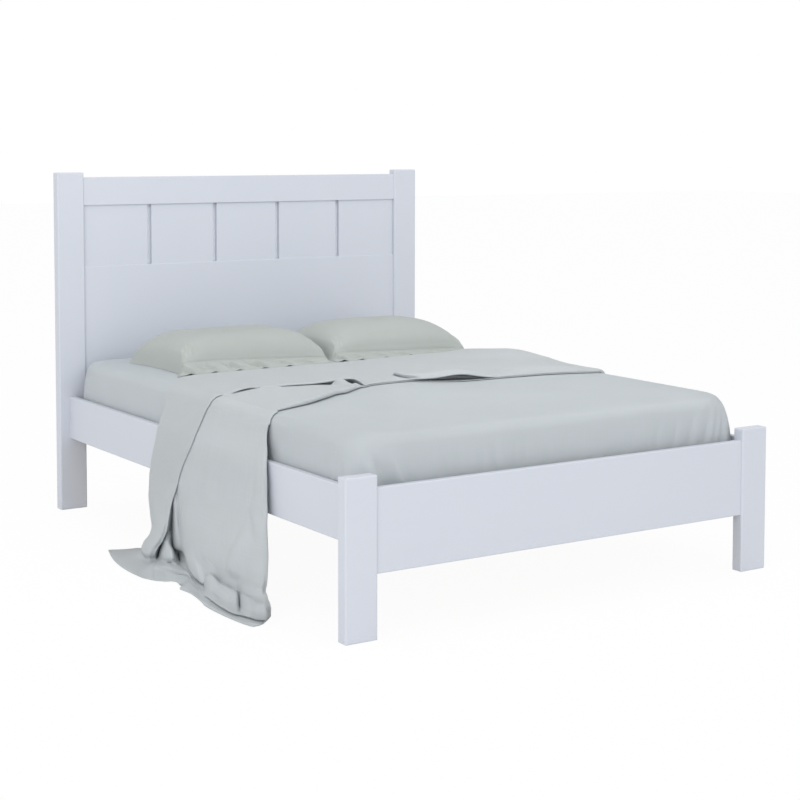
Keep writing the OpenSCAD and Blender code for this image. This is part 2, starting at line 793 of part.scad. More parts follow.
// The side a point of the path belongs to decides which edge lists give its y.
function throw_y(i, j) =
    let (
        x = throw_path[i][0],
        z = is_undef(throw_path[i][1]) ? 540 : throw_path[i][1],
        down = i >= throw_fall_start,
        foot = down ? lookup(z, throw_foot_side) : lookup(x, throw_foot_top),
        layer = down ? lookup(z, throw_layer_side) : lookup(x, throw_layer_top),
        head = down ? lookup(z, throw_head_side) : lookup(x, throw_head_top))
    j < throw_double_rows
        ? lerp(foot, layer, j / (throw_double_rows - 1))
        : lerp(layer + throw_t, head, (j - throw_double_rows) / (throw_rows - 1 - throw_double_rows));

// Folds run down the hanging part: broad ones in the doubled cloth, closer ones behind it.
function fold_wave(j) =
    j < throw_double_rows ? 0.5 - 0.5 * cos(144 * j + 36) : 0.5 - 0.5 * cos(150 * (j - throw_double_rows));

function throw_under(i, j) =
    let (p = throw_path[i], y = throw_y(i, j), z = is_undef(p[1]) ? pad_top(p[0], y) : p[1])
    i >= throw_fall_start ? [p[0] - fold_wave(j) * lookup(z, throw_fold), y, z] : [p[0], y, z];

throw_last = len(throw_path) - 1;

// The outward direction of the cloth, from its neighbours.
function throw_out(i, j) =
    let (
        along = throw_under(min(i + 1, throw_last), j) - throw_under(max(i - 1, 0), j),
        across = throw_under(i, min(j + 1, throw_rows - 1)) - throw_under(i, max(j - 1, 0)),
        n = cross(across, along))
    n / norm(n);

function throw_over(i, j) =
    throw_under(i, j) + throw_out(i, j) * (j < throw_double_rows ? throw_t : throw_single_t);

// A sheet with a second face: every row of the throw is one ring that goes out over it and back under it.
module throw() {
    color(linen) ring_loft([for (i = [throw_last:-1:0]) concat(
        [for (j = [0:throw_rows - 1]) throw_under(i, j)],
        [for (j = [throw_rows - 1:-1:0]) throw_over(i, j)]
    )]);
}

// Placing the nodes.

head_post(-1);  // head_post_left
head_post(1);  // head_post_right
headboard_top_rail();
headboard_bottom_rail();
headboard_lower_panel();
headboard_backing();
for (i = [0:board_count - 1]) headboard_board(i);
foot_post(-1);  // foot_post_left
foot_post(1);  // foot_post_right
footboard();
side_rail(-1);  // side_rail_left
side_rail(1);  // side_rail_right
cleat(-1);  // cleat_left
cleat(1);  // cleat_right
centre_beam();
centre_leg();
leg_glide();
leg_stud();
beam_hanger(-1);  // beam_hanger_foot
beam_hanger(1);  // beam_hanger_head
for (i = [0:slat_count - 1]) slat(i);
for (i = [0:3]) corner_bracket(corners[i]);
post_bolts();
post_inserts();
rail_screws();
cleat_screws();
slat_screws();
hanger_screws();
backing_screws();
dowels();
mattress();
fitted_sheet();
pillow_left_place() pillow_insert();  // pillow_left_insert
pillow_left_place() pillow_case();  // pillow_left_case
pillow_right_place() pillow_insert();  // pillow_right_insert
pillow_right_place() pillow_case();  // pillow_right_case
throw();
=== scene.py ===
"""A double bed, dressed for its picture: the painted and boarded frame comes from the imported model,
and the mattress, fitted sheet, pillows and throw are made here in its frame. Lengths are in metres,
but in millimetres in the throw's section."""

import json
import math
from types import SimpleNamespace

import bmesh
import bpy
import numpy as np
from mathutils import Matrix, Vector


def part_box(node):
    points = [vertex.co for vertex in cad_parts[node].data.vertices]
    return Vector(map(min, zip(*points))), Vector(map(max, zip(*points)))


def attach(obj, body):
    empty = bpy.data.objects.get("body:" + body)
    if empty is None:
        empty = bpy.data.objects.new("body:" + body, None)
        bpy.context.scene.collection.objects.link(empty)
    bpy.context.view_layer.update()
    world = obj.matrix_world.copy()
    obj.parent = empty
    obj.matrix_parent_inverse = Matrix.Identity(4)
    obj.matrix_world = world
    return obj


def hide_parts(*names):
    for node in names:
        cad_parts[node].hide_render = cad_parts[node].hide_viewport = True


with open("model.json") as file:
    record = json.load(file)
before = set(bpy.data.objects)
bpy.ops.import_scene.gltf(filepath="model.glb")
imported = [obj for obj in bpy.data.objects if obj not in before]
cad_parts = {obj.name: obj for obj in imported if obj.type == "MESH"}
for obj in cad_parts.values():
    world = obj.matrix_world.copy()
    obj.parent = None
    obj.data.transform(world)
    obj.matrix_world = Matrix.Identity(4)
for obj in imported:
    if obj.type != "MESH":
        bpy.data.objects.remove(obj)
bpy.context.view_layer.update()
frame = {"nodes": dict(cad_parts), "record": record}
node_slot = {part["node"]: part["material_slot"] for part in frame["record"]["subparts"]}
sheet_low, sheet_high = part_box("fitted_sheet")
pad_low, pad_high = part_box("mattress")


# Camera, solved from the posts, rails and boards of the photograph.

picture_width = 800
focal_pixels = 1701.58
lens_shift = 0.18
eye = np.array((-3.007, -4.7142, 1.3067))
yaw, pitch, roll = np.radians((-33.05, 3.81, 0.064))
view = np.array((-math.sin(yaw) * math.cos(pitch), math.cos(yaw) * math.cos(pitch), -math.sin(pitch)))
level_right = np.array((math.cos(yaw), math.sin(yaw), 0))
level_up = np.cross(level_right, view)
right = level_right * math.cos(roll) + level_up * math.sin(roll)
up = level_up * math.cos(roll) - level_right * math.sin(roll)


def set_camera():
    lens = bpy.data.cameras.new("photograph")
    lens.lens = lens.sensor_width * focal_pixels / picture_width
    lens.shift_y = -lens_shift
    camera = bpy.data.objects.new("camera", lens)
    camera.matrix_world = Matrix.Translation(eye) @ Matrix((right, up, -view)).transposed().to_4x4()
    bpy.context.scene.collection.objects.link(camera)
    bpy.context.scene.camera = camera


set_camera()
bpy.context.scene.view_settings.view_transform = "Standard"


# Finishes.

full_turn = 6.283


class Value:
    """A socket of a node tree that takes part in sums, so a pattern is written as arithmetic."""

    def __init__(self, nodes, socket):
        self.nodes = nodes
        self.socket = socket

    def maths(self, operation, *others):
        return self.nodes.node("ShaderNodeMath", {"operation": operation}, *others)

    def __add__(self, other):
        return self.maths("ADD", self, other)

    def __radd__(self, other):
        return self.maths("ADD", other, self)

    def __sub__(self, other):
        return self.maths("SUBTRACT", self, other)

    def __rsub__(self, other):
        return self.maths("SUBTRACT", other, self)

    def __mul__(self, other):
        return self.maths("MULTIPLY", self, other)

    def __rmul__(self, other):
        return self.maths("MULTIPLY", other, self)

    def __pow__(self, other):
        return self.maths("POWER", self, other)

    def __rpow__(self, other):
        return self.maths("POWER", other, self)

    def sine(self):
        return self.maths("SINE", self)

    def absolute(self):
        return self.maths("ABSOLUTE", self)

    def clip(self):
        return self.nodes.node("ShaderNodeClamp", {}, self)


class Nodes:
    """A node tree: that of a finish, or that of the world round the bed."""

    def __init__(self, tree):
        self.tree = tree

    def node(self, kind, settings, *inputs, output=0, **named):
        """Adds a node: its settings first, then the values or links of its sockets, by place or by name."""
        node = self.tree.nodes.new(kind)
        for name, setting in settings.items():
            setattr(node, name, setting)
        for key, value in [*enumerate(inputs), *named.items()]:
            socket = node.inputs[key]
            if isinstance(value, Value):
                self.link(value, socket)
            elif value is not None:
                socket.default_value = value
        return Value(self, node.outputs[output])

    def link(self, value, socket):
        self.tree.links.new(value.socket, socket)

    def seen_rays(self):
        """1 for rays that show the surroundings, to the camera or in metal and glass, and else 0."""
        camera, glossy, clear = (self.node("ShaderNodeLightPath", {}, output=f"Is {kind} Ray")
                                 for kind in ("Camera", "Glossy", "Transmission"))
        return (camera + glossy + clear).clip()


class Finish(Nodes):
    """One material, with a Principled surface and a pattern that is written as arithmetic."""

    def __init__(self, name, rough, specular=0.4, metal=0.0, sheen=0.0):
        self.material = bpy.data.materials.new(name)
        self.material.use_nodes = True
        super().__init__(self.material.node_tree)
        self.surface = self.tree.nodes["Principled BSDF"]
        for socket, number in (("Roughness", rough), ("Specular IOR Level", specular), ("Metallic", metal),
                               ("Sheen Weight", sheen), ("Sheen Roughness", 0.5)):
            self.surface.inputs[socket].default_value = number

    def place(self):
        return self.node("ShaderNodeTexCoord", {}, output="Object")

    def threads(self):
        """Distance along and across the cloth, in metres, from the piece's own thread map."""
        place = self.node("ShaderNodeUVMap", {"uv_map": "threads"})
        return tuple(self.node("ShaderNodeSeparateXYZ", {}, place, output=way) for way in ("X", "Y"))

    def stretched(self, vector, stretch):
        return self.node("ShaderNodeVectorMath", {"operation": "MULTIPLY"}, vector, stretch)

    def noise(self, vector, scale, detail):
        return self.node("ShaderNodeTexNoise", {}, Vector=vector, Scale=scale, Detail=detail)

    def blend(self, share, first, second):
        """A colour between two colours. The Mix node's sockets for colours come after five of other types."""
        return self.node("ShaderNodeMix", {"data_type": "RGBA"}, share, *[None] * 5, first, second, output=2)

    def feed(self, socket, value):
        self.link(value, self.surface.inputs[socket])

    def show(self, shader):
        self.link(shader, self.tree.nodes["Material Output"].inputs["Surface"])

    def relief(self, height, depth):
        """Feeds the surface's normal with a relief of the given depth in metres, and gives the material."""
        self.feed("Normal", self.node("ShaderNodeBump", {}, Strength=1.0, Distance=depth, Height=height))
        return self.material


def srgb(*shade):
    """A colour written in 0 to 255 as a linear one."""
    parts = [part / 255 for part in shade]
    return tuple(c / 12.92 if c < 0.0404 else ((c + 0.055) / 1.055) ** 2.4 for c in parts) + (1.0,)


def painted_wood():
    """Satin lacquer, laid on with a brush and lightly orange peeled."""
    finish = Finish("painted_wood", 0.45, specular=0.35)
    at = finish.place()
    cloud = finish.noise(at, 3.0, 3.0)
    orange_peel = finish.noise(at, 420.0, 2.0)
    strokes = finish.noise(finish.stretched(at, (30.0, 30.0, 2.5)), 12.0, 3.0)
    finish.feed("Base Color", finish.blend(cloud, srgb(199, 204, 213), srgb(203, 207, 216)))
    finish.feed("Roughness", 0.38 + cloud * 0.08 + strokes * 0.06)
    return finish.relief(orange_peel * 0.6 + strokes * 0.4, 0.00012)


def backing_board():
    """Pale faced hardboard."""
    finish = Finish("backing_board", 0.7, specular=0.25)
    fibres = finish.noise(finish.stretched(finish.place(), (1.0, 1.0, 0.4)), 260.0, 4.0)
    finish.feed("Base Color", finish.blend(fibres, srgb(222, 226, 234), srgb(236, 239, 246)))
    finish.feed("Roughness", 0.62 + fibres * 0.2)
    return finish.relief(fibres, 0.0002)


def pine(name, stretch):
    """Planed softwood, with its grain along the axis of the smallest stretch."""
    finish = Finish(name, 0.6, specular=0.3)
    at = finish.stretched(finish.place(), stretch)
    sway = finish.noise(at, 2.0, 2.0)
    rings = ((finish.noise(at, 1.3, 1.0) * 9.0 + sway * 1.5) * full_turn).sine() * 0.5 + 0.5
    pores = finish.noise(finish.stretched(at, (6.0, 6.0, 6.0)), 5.0, 3.0)
    wood = finish.blend(rings ** 2.0, srgb(232, 208, 166), srgb(206, 168, 114))
    finish.feed("Base Color", finish.blend(pores * 0.25, wood, srgb(184, 144, 96)))
    finish.feed("Roughness", 0.52 + rings * 0.1 + pores * 0.08)
    return finish.relief(rings * 0.5 + pores * 0.5, 0.00018)


def zinc_steel():
    """Bright zinc on drawn steel."""
    finish = Finish("zinc_steel", 0.35, metal=1.0)
    at = finish.place()
    spangle = finish.noise(at, 160.0, 1.0)
    drawn = finish.noise(finish.stretched(at, (1.0, 1.0, 14.0)), 240.0, 2.0)
    finish.feed("Base Color", finish.blend(spangle, srgb(196, 198, 202), srgb(224, 226, 230)))
    finish.feed("Roughness", 0.26 + spangle * 0.16 + drawn * 0.08)
    return finish.relief(drawn * 0.7 + spangle * 0.3, 0.00004)


def glide_plastic():
    """Moulded matt plastic."""
    finish = Finish("glide_plastic", 0.5)
    grain = finish.noise(finish.place(), 900.0, 2.0)
    finish.feed("Base Color", finish.blend(grain, srgb(44, 44, 46), srgb(60, 60, 62)))
    finish.feed("Roughness", 0.44 + grain * 0.16)
    return finish.relief(grain, 0.00008)


def cotton(name, shade, deep, pitch, slub, sheen=0.12):
    """Plain woven cloth: threads of a given pitch, slubs along both ways and a soft cloudiness."""
    finish = Finish(name, 0.85, specular=0.18, sheen=sheen)
    along, across = finish.threads()
    at = finish.node("ShaderNodeCombineXYZ", {}, along, across, 0.0)
    warp = finish.noise(finish.stretched(at, (9.0, 420.0, 1.0)), 1.0, 2.0)
    weft = finish.noise(finish.stretched(at, (420.0, 9.0, 1.0)), 1.0, 2.0)
    cloud = finish.noise(finish.place(), 5.0, 2.0)
    over_under = (along * (full_turn / pitch)).sine() * (across * (full_turn / pitch)).sine()
    slubs = (warp + weft) * 0.5
    tone = (0.5 + (slubs - 0.5) * slub + (cloud - 0.5) * 0.5 + over_under * 0.05).clip()
    finish.feed("Base Color", finish.blend(tone, deep, shade))
    finish.feed("Roughness", 0.78 + slubs * 0.16)
    return finish.relief(over_under * 0.35 + slubs, 0.0006)


def ticking():
    """Mattress cloth: a fine herringbone over a soft quilted ground."""
    finish = Finish("ticking", 0.85, specular=0.2, sheen=0.15)
    along, across = finish.threads()
    pitch = 0.004
    zig = ((across * 60.0).sine().absolute() * 0.012 + along) * (full_turn / pitch)
    herringbone = zig.sine() * 0.5 + 0.5
    cloud = finish.noise(finish.place(), 6.0, 2.0)
    tone = herringbone * 0.6 + cloud * 0.4
    finish.feed("Base Color", finish.blend(tone, srgb(226, 224, 216), srgb(244, 243, 238)))
    finish.feed("Roughness", 0.78 + herringbone * 0.14)
    return finish.relief(herringbone, 0.0005)


finishes = {
    "painted_wood": painted_wood(),
    "backing_board": backing_board(),
    "pine": pine("pine", (3.0, 40.0, 40.0)),
    "pine_lengthwise": pine("pine_lengthwise", (40.0, 3.0, 40.0)),
    "pine_upright": pine("pine_upright", (40.0, 40.0, 3.0)),
    "zinc_steel": zinc_steel(),
    "glide_plastic": glide_plastic(),
    "ticking": ticking(),
    "sheet_cotton": cotton("sheet_cotton", srgb(203, 209, 213), srgb(193, 200, 204), 0.0009, 0.9, 0.0),
    "pillow_cotton": cotton("pillow_cotton", srgb(189, 195, 192), srgb(179, 186, 182), 0.0009, 0.8),
    "throw_cotton": cotton("throw_cotton", srgb(200, 205, 208), srgb(189, 195, 198), 0.0013, 1.3),
}
pine_by_grain = {
    "cleat_left": "pine_lengthwise",
    "cleat_right": "pine_lengthwise",
    "centre_beam": "pine_lengthwise",
    "dowels": "pine_lengthwise",
    "centre_leg": "pine_upright",
}

for name, node in frame["nodes"].items():
    node.data.materials.clear()
    finish = pine_by_grain.get(name, node_slot[name])
    # Only the fill of the pillows has no finish of its own; nothing shows of it.
    node.data.materials.append(finishes.get(finish, finishes["ticking"]))


# Cloth and padding from grids of points.

def curve(table, x):
    """A smooth line through a table of (x, value) pairs, with no overshoot between them."""
    knots, values = np.array(sorted(table), float).T
    step = np.diff(knots)
    slope = np.diff(values) / step
    tangent = np.zeros_like(values)
    same = slope[1:] * slope[:-1] > 0
    weight = 3 * (step[1:] + step[:-1])
    with np.errstate(divide="ignore", invalid="ignore"):
        middle = weight / ((2 * step[1:] + step[:-1]) / slope[:-1] + (step[1:] + 2 * step[:-1]) / slope[1:])
    tangent[1:-1] = np.where(same, middle, 0)
    tangent[[0, -1]] = slope[[0, -1]]
    x = np.clip(np.asarray(x, float), knots[0], knots[-1])
    i = np.clip(np.searchsorted(knots, x, side="right") - 1, 0, len(step) - 1)
    t = (x - knots[i]) / step[i]
    return (values[i] * (1 + 2 * t) * (1 - t) ** 2 + tangent[i] * step[i] * t * (1 - t) ** 2
            + values[i + 1] * t * t * (3 - 2 * t) + tangent[i + 1] * step[i] * t * t * (t - 1))


def ease(x, start, end):
    """0 before start and 1 after end, with a soft turn between."""
    t = np.clip((np.asarray(x, float) - start) / (end - start), 0, 1)
    return t * t * (3 - 2 * t)


def hump(x, middle, width):
    """1 at the middle, falling softly to 0 on both sides."""
    return np.exp(-((np.asarray(x, float) - middle) / width) ** 2)


def ripple(seed, *ways):
    """Gentle unevenness from a few waves. Each way is (values, waves per unit)."""
    chance = np.random.RandomState(seed)
    waves = 5
    total = 0
    for _ in range(waves):
        phase = chance.uniform(0, 2 * math.pi)
        for values, rate in ways:
            phase = phase + values * rate * 2 * math.pi * chance.uniform(0.4, 1.3) * chance.choice((-1, 1))
        total = total + np.sin(phase) / waves
    return total


def run_along(grid, axis):
    """How far each row or column of a grid lies from the first, on the average."""
    steps = np.linalg.norm(np.diff(grid, axis=axis), axis=2)
    return np.cumsum(np.r_[0, steps.mean(1 - axis)])


def quads(number, flip):
    """The faces between the points of a grid of point numbers."""
    a, b, c, d = number[:-1, :-1], number[:-1, 1:], number[1:, 1:], number[1:, :-1]
    order = (a, d, c, b) if flip else (a, b, c, d)
    return np.stack(order, -1).reshape(-1, 4)


def closed(number):
    """A grid of point numbers whose last column joins its first."""
    return np.concatenate([number, number[:, :1]], 1)


def mesh_piece(name, points, faces, finish, threads):
    """A smooth mesh from points and faces, with a map of the threads. These are given as the lengths of the
    grid's rows and columns, how many there are, and whether the last column joins the first."""
    mesh = bpy.data.meshes.new(name)
    mesh.from_pydata(points.tolist(), [], faces.tolist())
    mesh.update()
    mesh.polygons.foreach_set("use_smooth", [True] * len(mesh.polygons))
    length, width, rows, columns, ring = threads
    layer = mesh.uv_layers.new(name="threads")
    corners = np.zeros(len(mesh.loops), np.int32)
    mesh.loops.foreach_get("vertex_index", corners)
    row, column = np.divmod(corners % (rows * columns), columns)
    if ring:
        of_face = column.reshape(-1, 4)
        joint = (of_face.min(1) == 0) & (of_face.max(1) == columns - 1)
        column = np.where(joint.repeat(4) & (column == 0), columns, column)
    layer.data.foreach_set("uv", np.stack([length[row], width[column]], 1).astype(np.float32).ravel())
    mesh.materials.append(finishes[finish])
    piece = bpy.data.objects.new(name, mesh)
    bpy.context.scene.collection.objects.link(piece)
    return piece


def weld(piece):
    """Joins points that lie on top of each other."""
    form = bmesh.new()
    form.from_mesh(piece.data)
    bmesh.ops.remove_doubles(form, verts=form.verts, dist=1e-5)
    form.to_mesh(piece.data)
    form.free()
    return piece


def cloth(name, grid, thick, finish, out=None):
    """A thin closed shell of the given thickness round a grid of points. With outward directions the grid is
    a ring: its last column joins its first, and its first row lies together along a line."""
    ring = out is not None
    if not ring:
        out = np.cross(np.gradient(grid, axis=1), np.gradient(grid, axis=0))
        out /= np.maximum(np.linalg.norm(out, axis=2, keepdims=True), 1e-9)
    rows, columns = grid.shape[:2]
    skins = [(grid + out * side * thick / 2).reshape(-1, 3) for side in (1, -1)]
    number = np.arange(rows * columns).reshape(rows, columns)
    if ring:
        number = closed(number)
    under = number + rows * columns
    rims = [(number[-1], under[-1], False)]
    if not ring:
        rims += [(number[0], under[0], True), (number[:, 0], under[:, 0], False),
                 (number[:, -1], under[:, -1], True)]
    faces = [quads(number, False), quads(under, True)]
    faces += [quads(np.stack([top, low]), flip) for top, low, flip in rims]
    width = run_along(grid, 1)
    if ring:
        width = np.r_[width, width[-1] + np.linalg.norm(grid[:, 0] - grid[:, -1], axis=1).mean()]
    threads = (run_along(grid, 0), width, rows, columns, ring)
    return mesh_piece(name, np.concatenate(skins), np.concatenate(faces), finish, threads)


# Mattress and fitted sheet: level rings round the bed's middle.

pad_half_x, pad_half_y = pad_high.x, pad_high.y
edge_round, foot_round, corner_round = 0.030, 0.012, 0.060
crown, crown_run = 0.007, 0.060
edge_top = pad_high.z - crown * (1 - math.exp(-(pad_half_x - edge_round) / crown_run))
# How far the corners are drawn in, by the distance below the top edge.
corner_draw = [(0, 0.022), (0.015, 0.0205), (0.045, 0.012), (0.075, 0.006), (0.105, 0.002), (0.13, 0)]
draw_at_foot, draw_at_head = 1.45, 0.9
# The insets of the rings on the top.
top_insets = [0.034, 0.04, 0.048, 0.06, 0.075, 0.095, 0.12, 0.15, 0.19, 0.24, 0.3, 0.36, 0.42, 0.48, 0.54,
              0.6, 0.645, 0.675]


def crown_rise(inset):
    """How high the crowned top stands at a distance from the bed's side."""
    return crown * (1 - np.exp(-np.maximum(inset - edge_round, 0) / crown_run))


def ring_points(inset, count):
    """A rounded rectangle drawn in by inset, as (x, y) with an even spacing, and the outward directions."""
    half_x, half_y = pad_half_x - inset, pad_half_y - inset
    radius = min(max(corner_round - inset, 0.004), half_x, half_y)
    bend = math.pi * radius / 2
    sides = [2 * (half_y - radius), bend, 2 * (half_x - radius), bend] * 2
    starts = np.cumsum([0] + sides)
    at = (np.arange(count) + 0.5) / count * sum(sides)
    inner = np.array([half_x - radius, half_y - radius])
    centres = [inner * signs for signs in ((1, 1), (-1, 1), (-1, -1), (1, -1))]
    points, outs = np.zeros((count, 2)), np.zeros((count, 2))
    for i in range(8):
        here = (at >= starts[i]) & (at < starts[i + 1])
        run = at[here, None] - starts[i]
        corner = i // 2
        angle = corner * math.pi / 2
        if i % 2:
            turned = angle + run / radius
            outs[here] = np.concatenate([np.cos(turned), np.sin(turned)], 1)
            points[here] = centres[corner] + outs[here] * radius
        else:
            way = np.array([math.cos(angle), math.sin(angle)])
            outs[here] = way
            points[here] = centres[corner - 1] + way * radius + np.array([-way[1], way[0]]) * run
    return points, outs


def bed_rings(grow, count, levels):
    """Rings from the underside up and in over the top, grown outwards by grow, and their outward directions.
    Each level is (inset, height, lean of the outward direction)."""
    rings, outs = [], []
    for inset, z, lean in levels:
        flat, way = ring_points(inset, count)
        # The corners are drawn in towards the top, more at the foot than at the head.
        gone = np.hypot(pad_half_x - np.abs(flat[:, 0]), pad_half_y - np.abs(flat[:, 1]))
        drawn = np.where(flat[:, 1] < 0, draw_at_foot, draw_at_head) * curve(corner_draw, edge_top - z)
        drawn = drawn * np.exp(-(np.maximum(gone - 0.03, 0) / 0.062) ** 2)
        flat = flat - np.sign(flat) * drawn[:, None] * math.sqrt(0.5)
        side = np.concatenate([way * math.cos(lean), np.full((count, 1), math.sin(lean))], 1)
        rings.append(np.concatenate([flat, np.full((count, 1), z)], 1) + side * grow)
        outs.append(side)
    return np.array(rings), np.array(outs)


def unevenness(x, y):
    """How far the top of the bed stands off its even form."""
    return 0.0007 * ripple(4, (x, 2.2), (y, 1.6))


def bed_levels(tuck, fine):
    """The levels from the tucked edge underneath, round the lower edge, up the side in fine steps, round the
    upper edge and in over the crowned top to the middle line."""
    levels = [(max(tuck * (1 - t), foot_round), pad_low.z, -math.pi / 2) for t in (0, 0.35, 0.7)]
    bottom, top = pad_low.z + foot_round, edge_top - edge_round
    for t in np.linspace(0, math.pi / 2, 5):
        levels.append((foot_round * (1 - math.sin(t)), bottom - foot_round * math.cos(t), t - math.pi / 2))
    levels += [(0, bottom + (top - bottom) * step / fine, 0) for step in range(1, fine)]
    for t in np.linspace(0, math.pi / 2, 9):
        levels.append((edge_round * (1 - math.cos(t)), top + edge_round * math.sin(t), t))
    levels += [(inset, edge_top + float(crown_rise(inset)), math.pi / 2) for inset in top_insets]
    levels.append((pad_half_x, pad_high.z, math.pi / 2))
    return levels


# Pleats along the foot of the sheet, as (x, depth, width, lean). They deepen towards the corner at the right.
foot_pleats = [
    (0.316, 1.0, 0.009, 0.2), (0.351, 1.4, 0.010, 0.2), (0.421, 1.6, 0.011, 0.22), (0.485, 2.0, 0.012, 0.24),
    (0.547, 2.6, 0.012, 0.26), (0.585, 1.6, 0.008, 0.25), (0.618, 2.6, 0.010, 0.22),
    (-0.397, 1.0, 0.012, -0.1), (-0.355, 1.0, 0.010, -0.1), (-0.281, 1.5, 0.010, -0.1),
    (-0.230, 1.8, 0.012, -0.1), (-0.168, 1.4, 0.010, 0.0), (-0.131, 1.1, 0.010, 0.05),
    (-0.05, 0.7, 0.010, 0.1), (0.06, 0.6, 0.010, 0.1), (0.19, 0.8, 0.012, 0.15),
]
# The gather at the foot's left corner, as (x, depth, width, lean, how far down it starts).
foot_gather = [
    (-0.596, 9.5, 0.012, -0.5, 0.10), (-0.572, 6.0, 0.016, -0.5, 0.13), (-0.545, -6.0, 0.013, -0.4, 0.13),
    (-0.629, -3.5, 0.011, -0.5, 0.10), (-0.517, 3.0, 0.012, -0.2, 0.13),
]
# Small gathers at every corner, as (distance from the corner, depth).
side_gathers = [(0.055, 3.0), (0.085, 2.0), (0.125, 2.2), (0.18, 1.2)]
head_gathers = [(0.06, 2.6), (0.1, 2.0), (0.16, 1.4)]
sheet_thick = 0.001
millimetre = 0.001


def foot_folds(x, z, drop):
    """The pleats and the gather that show on the foot of the sheet."""
    lift = np.zeros_like(x)
    for at, deep, wide, lean in foot_pleats:
        line = at + lean * (z - pad_low.z - 0.066)
        fades = ease(drop, 0.02 - 0.02 * deep, 0.125)
        lift -= 0.0019 * deep * hump(x, line, wide) * fades
        lift += 0.0012 * deep * hump(x, line + wide * 1.7, wide) * fades
    for at, deep, wide, lean, start in foot_gather:
        line = at + lean * (z - 0.405)
        lift -= millimetre * deep * hump(x, line, wide) * ease(drop, 0.015, start)
    return lift


def corner_folds(x, y, z, drop):
    """The gathers along the sides next to each corner, and those of the head end."""
    height = z - pad_low.z
    on_side = ease(np.abs(x), pad_half_x - 0.03, pad_half_x - 0.005)
    on_head = ease(y, 0.90, 0.935)
    lift = np.zeros_like(x)
    for way in (-1, 1):
        for back, deep in side_gathers:
            line = way * (pad_half_y - back - 0.25 * height)
            lift -= millimetre * deep * hump(y, line, 0.011) * on_side
        for back, deep in head_gathers:
            line = way * (pad_half_x - back - 0.2 * height)
            lift -= millimetre * deep * hump(x, line, 0.011) * on_head
    return lift * ease(drop, 0.03, 0.12)


def make_sheet():
    """The fitted sheet: drawn tight, with gathers at its corners and small pleats along the foot."""
    count = 720
    rings, outs = bed_rings(0.0009, count, bed_levels(0.1, 22))
    x, y, z = np.moveaxis(rings, -1, 0)
    drop = edge_top - z
    side = ease(drop, 0.004, 0.05) * ease(z, pad_low.z, pad_low.z + 0.03)
    lift = foot_folds(x, z, drop) * ease(-y, 0.90, 0.935) + corner_folds(x, y, z, drop)
    # Slack: long shallow waves on the sides and a barely uneven top.
    lift += 0.0009 * ripple(3, (x + y, 5.0), (z, 3.0)) * side
    lift += unevenness(x, y) * (1 - side) * (drop < 0.02)
    lift = np.maximum(lift, np.where(z > edge_top - 0.001, -0.0006, -0.0085))
    rings = rings + outs * (lift + 0.0003)[..., None]
    rings[..., 0] = np.clip(rings[..., 0], sheet_low.x - 0.0015, sheet_high.x + 0.0015)
    return weld(cloth("fitted_sheet_cloth", rings[::-1], sheet_thick, "sheet_cotton", outs[::-1]))


def make_mattress():
    """The mattress: quilted ticking with a rolled tape round its two edges."""
    count = 360
    middle_line = [(inset, pad_low.z, -math.pi / 2) for inset in (pad_half_x, 0.5)]
    rings, outs = bed_rings(0.0, count, middle_line + bed_levels(0.3, 20))
    x, y, z = np.moveaxis(rings, -1, 0)
    wall = ease(z, pad_low.z + 0.02, pad_low.z + 0.04) * (1 - ease(z, edge_top - 0.045, edge_top - 0.03))
    lift = -0.0105 + 0.0022 * np.abs(np.sin((x + y) * 18)) * wall
    for tape in (pad_low.z + 0.014, edge_top - 0.024):
        lift += 0.003 * hump(z, tape, 0.005)
        lift -= 0.0012 * (hump(z, tape + 0.011, 0.004) + hump(z, tape - 0.011, 0.004))
    from_edge = np.minimum(pad_half_x - np.abs(x), pad_half_y - np.abs(y))
    quilted = (np.abs(outs[..., 2]) > 0.9) * ease(from_edge, 0.03, 0.06)
    lift += quilted * (0.004 * np.abs(np.sin((x + y) * 17)) * np.abs(np.sin((x - y) * 17)) + 0.002)
    rings = rings + outs * np.minimum(lift, -0.0012)[..., None]
    rings[..., 2] = np.maximum(rings[..., 2], pad_low.z + 0.0003)
    points = rings.reshape(-1, 3)
    faces = quads(closed(np.arange(len(points)).reshape(rings.shape[:2])), False)
    threads = (run_along(rings, 0), np.arange(count + 1) * 0.0155, len(rings), count, True)
    return weld(mesh_piece("mattress_pad", points, faces, "ticking", threads))


# Pillows, each in a case with a gathered flange along its front. Square and swell shape the fill along and
# across, pull draws the sides in, shift moves the two ends of the hem, and turn is in degrees. The flange has
# tucks at the given places, of which the first, as many as lifted says, stand open at the hem, and bow is the
# hem's bulge. The front seam's height is given along the pillow, from -1 to 1.

pillows = {
    "left": SimpleNamespace(
        middle=(-0.2790, 0.5460), length=0.592, depth=0.424, tall=0.1175, turn=2.2, square=(6.0, 4.6),
        swell=(0.70, 0.60), pull=0.055, shift=(-0.034, -0.016), lifted=5, bow=0.006, seed=11,
        tucks=(-0.268, -0.178, -0.085, 0.015, 0.111, 0.205),
        seam_height=((-1, 0.037), (-0.4, 0.034), (0.3, 0.025), (1, 0.015))),
    "right": SimpleNamespace(
        middle=(0.3264, 0.5773), length=0.597, depth=0.428, tall=0.119, turn=2.64, square=(4.45, 2.74),
        swell=(0.55, 0.47), pull=0.053, shift=(-0.014, -0.010), lifted=4, bow=0.014, seed=47,
        tucks=(-0.268, -0.195, -0.096, 0.012, 0.115, 0.218),
        seam_height=((-1, 0.027), (-0.4, 0.021), (0.3, 0.013), (1, 0.008))),
}
flange_deep = 0.052
seam_thin = 0.0014
hem_height = 0.0030
# Gathers that stand up from the two front corners, as (distance in from the end, depth, width).
front_gathers = [(0.006, 3.4, 0.0045), (0.019, 4.2, 0.006), (0.034, 2.6, 0.006), (0.052, 1.5, 0.007)]


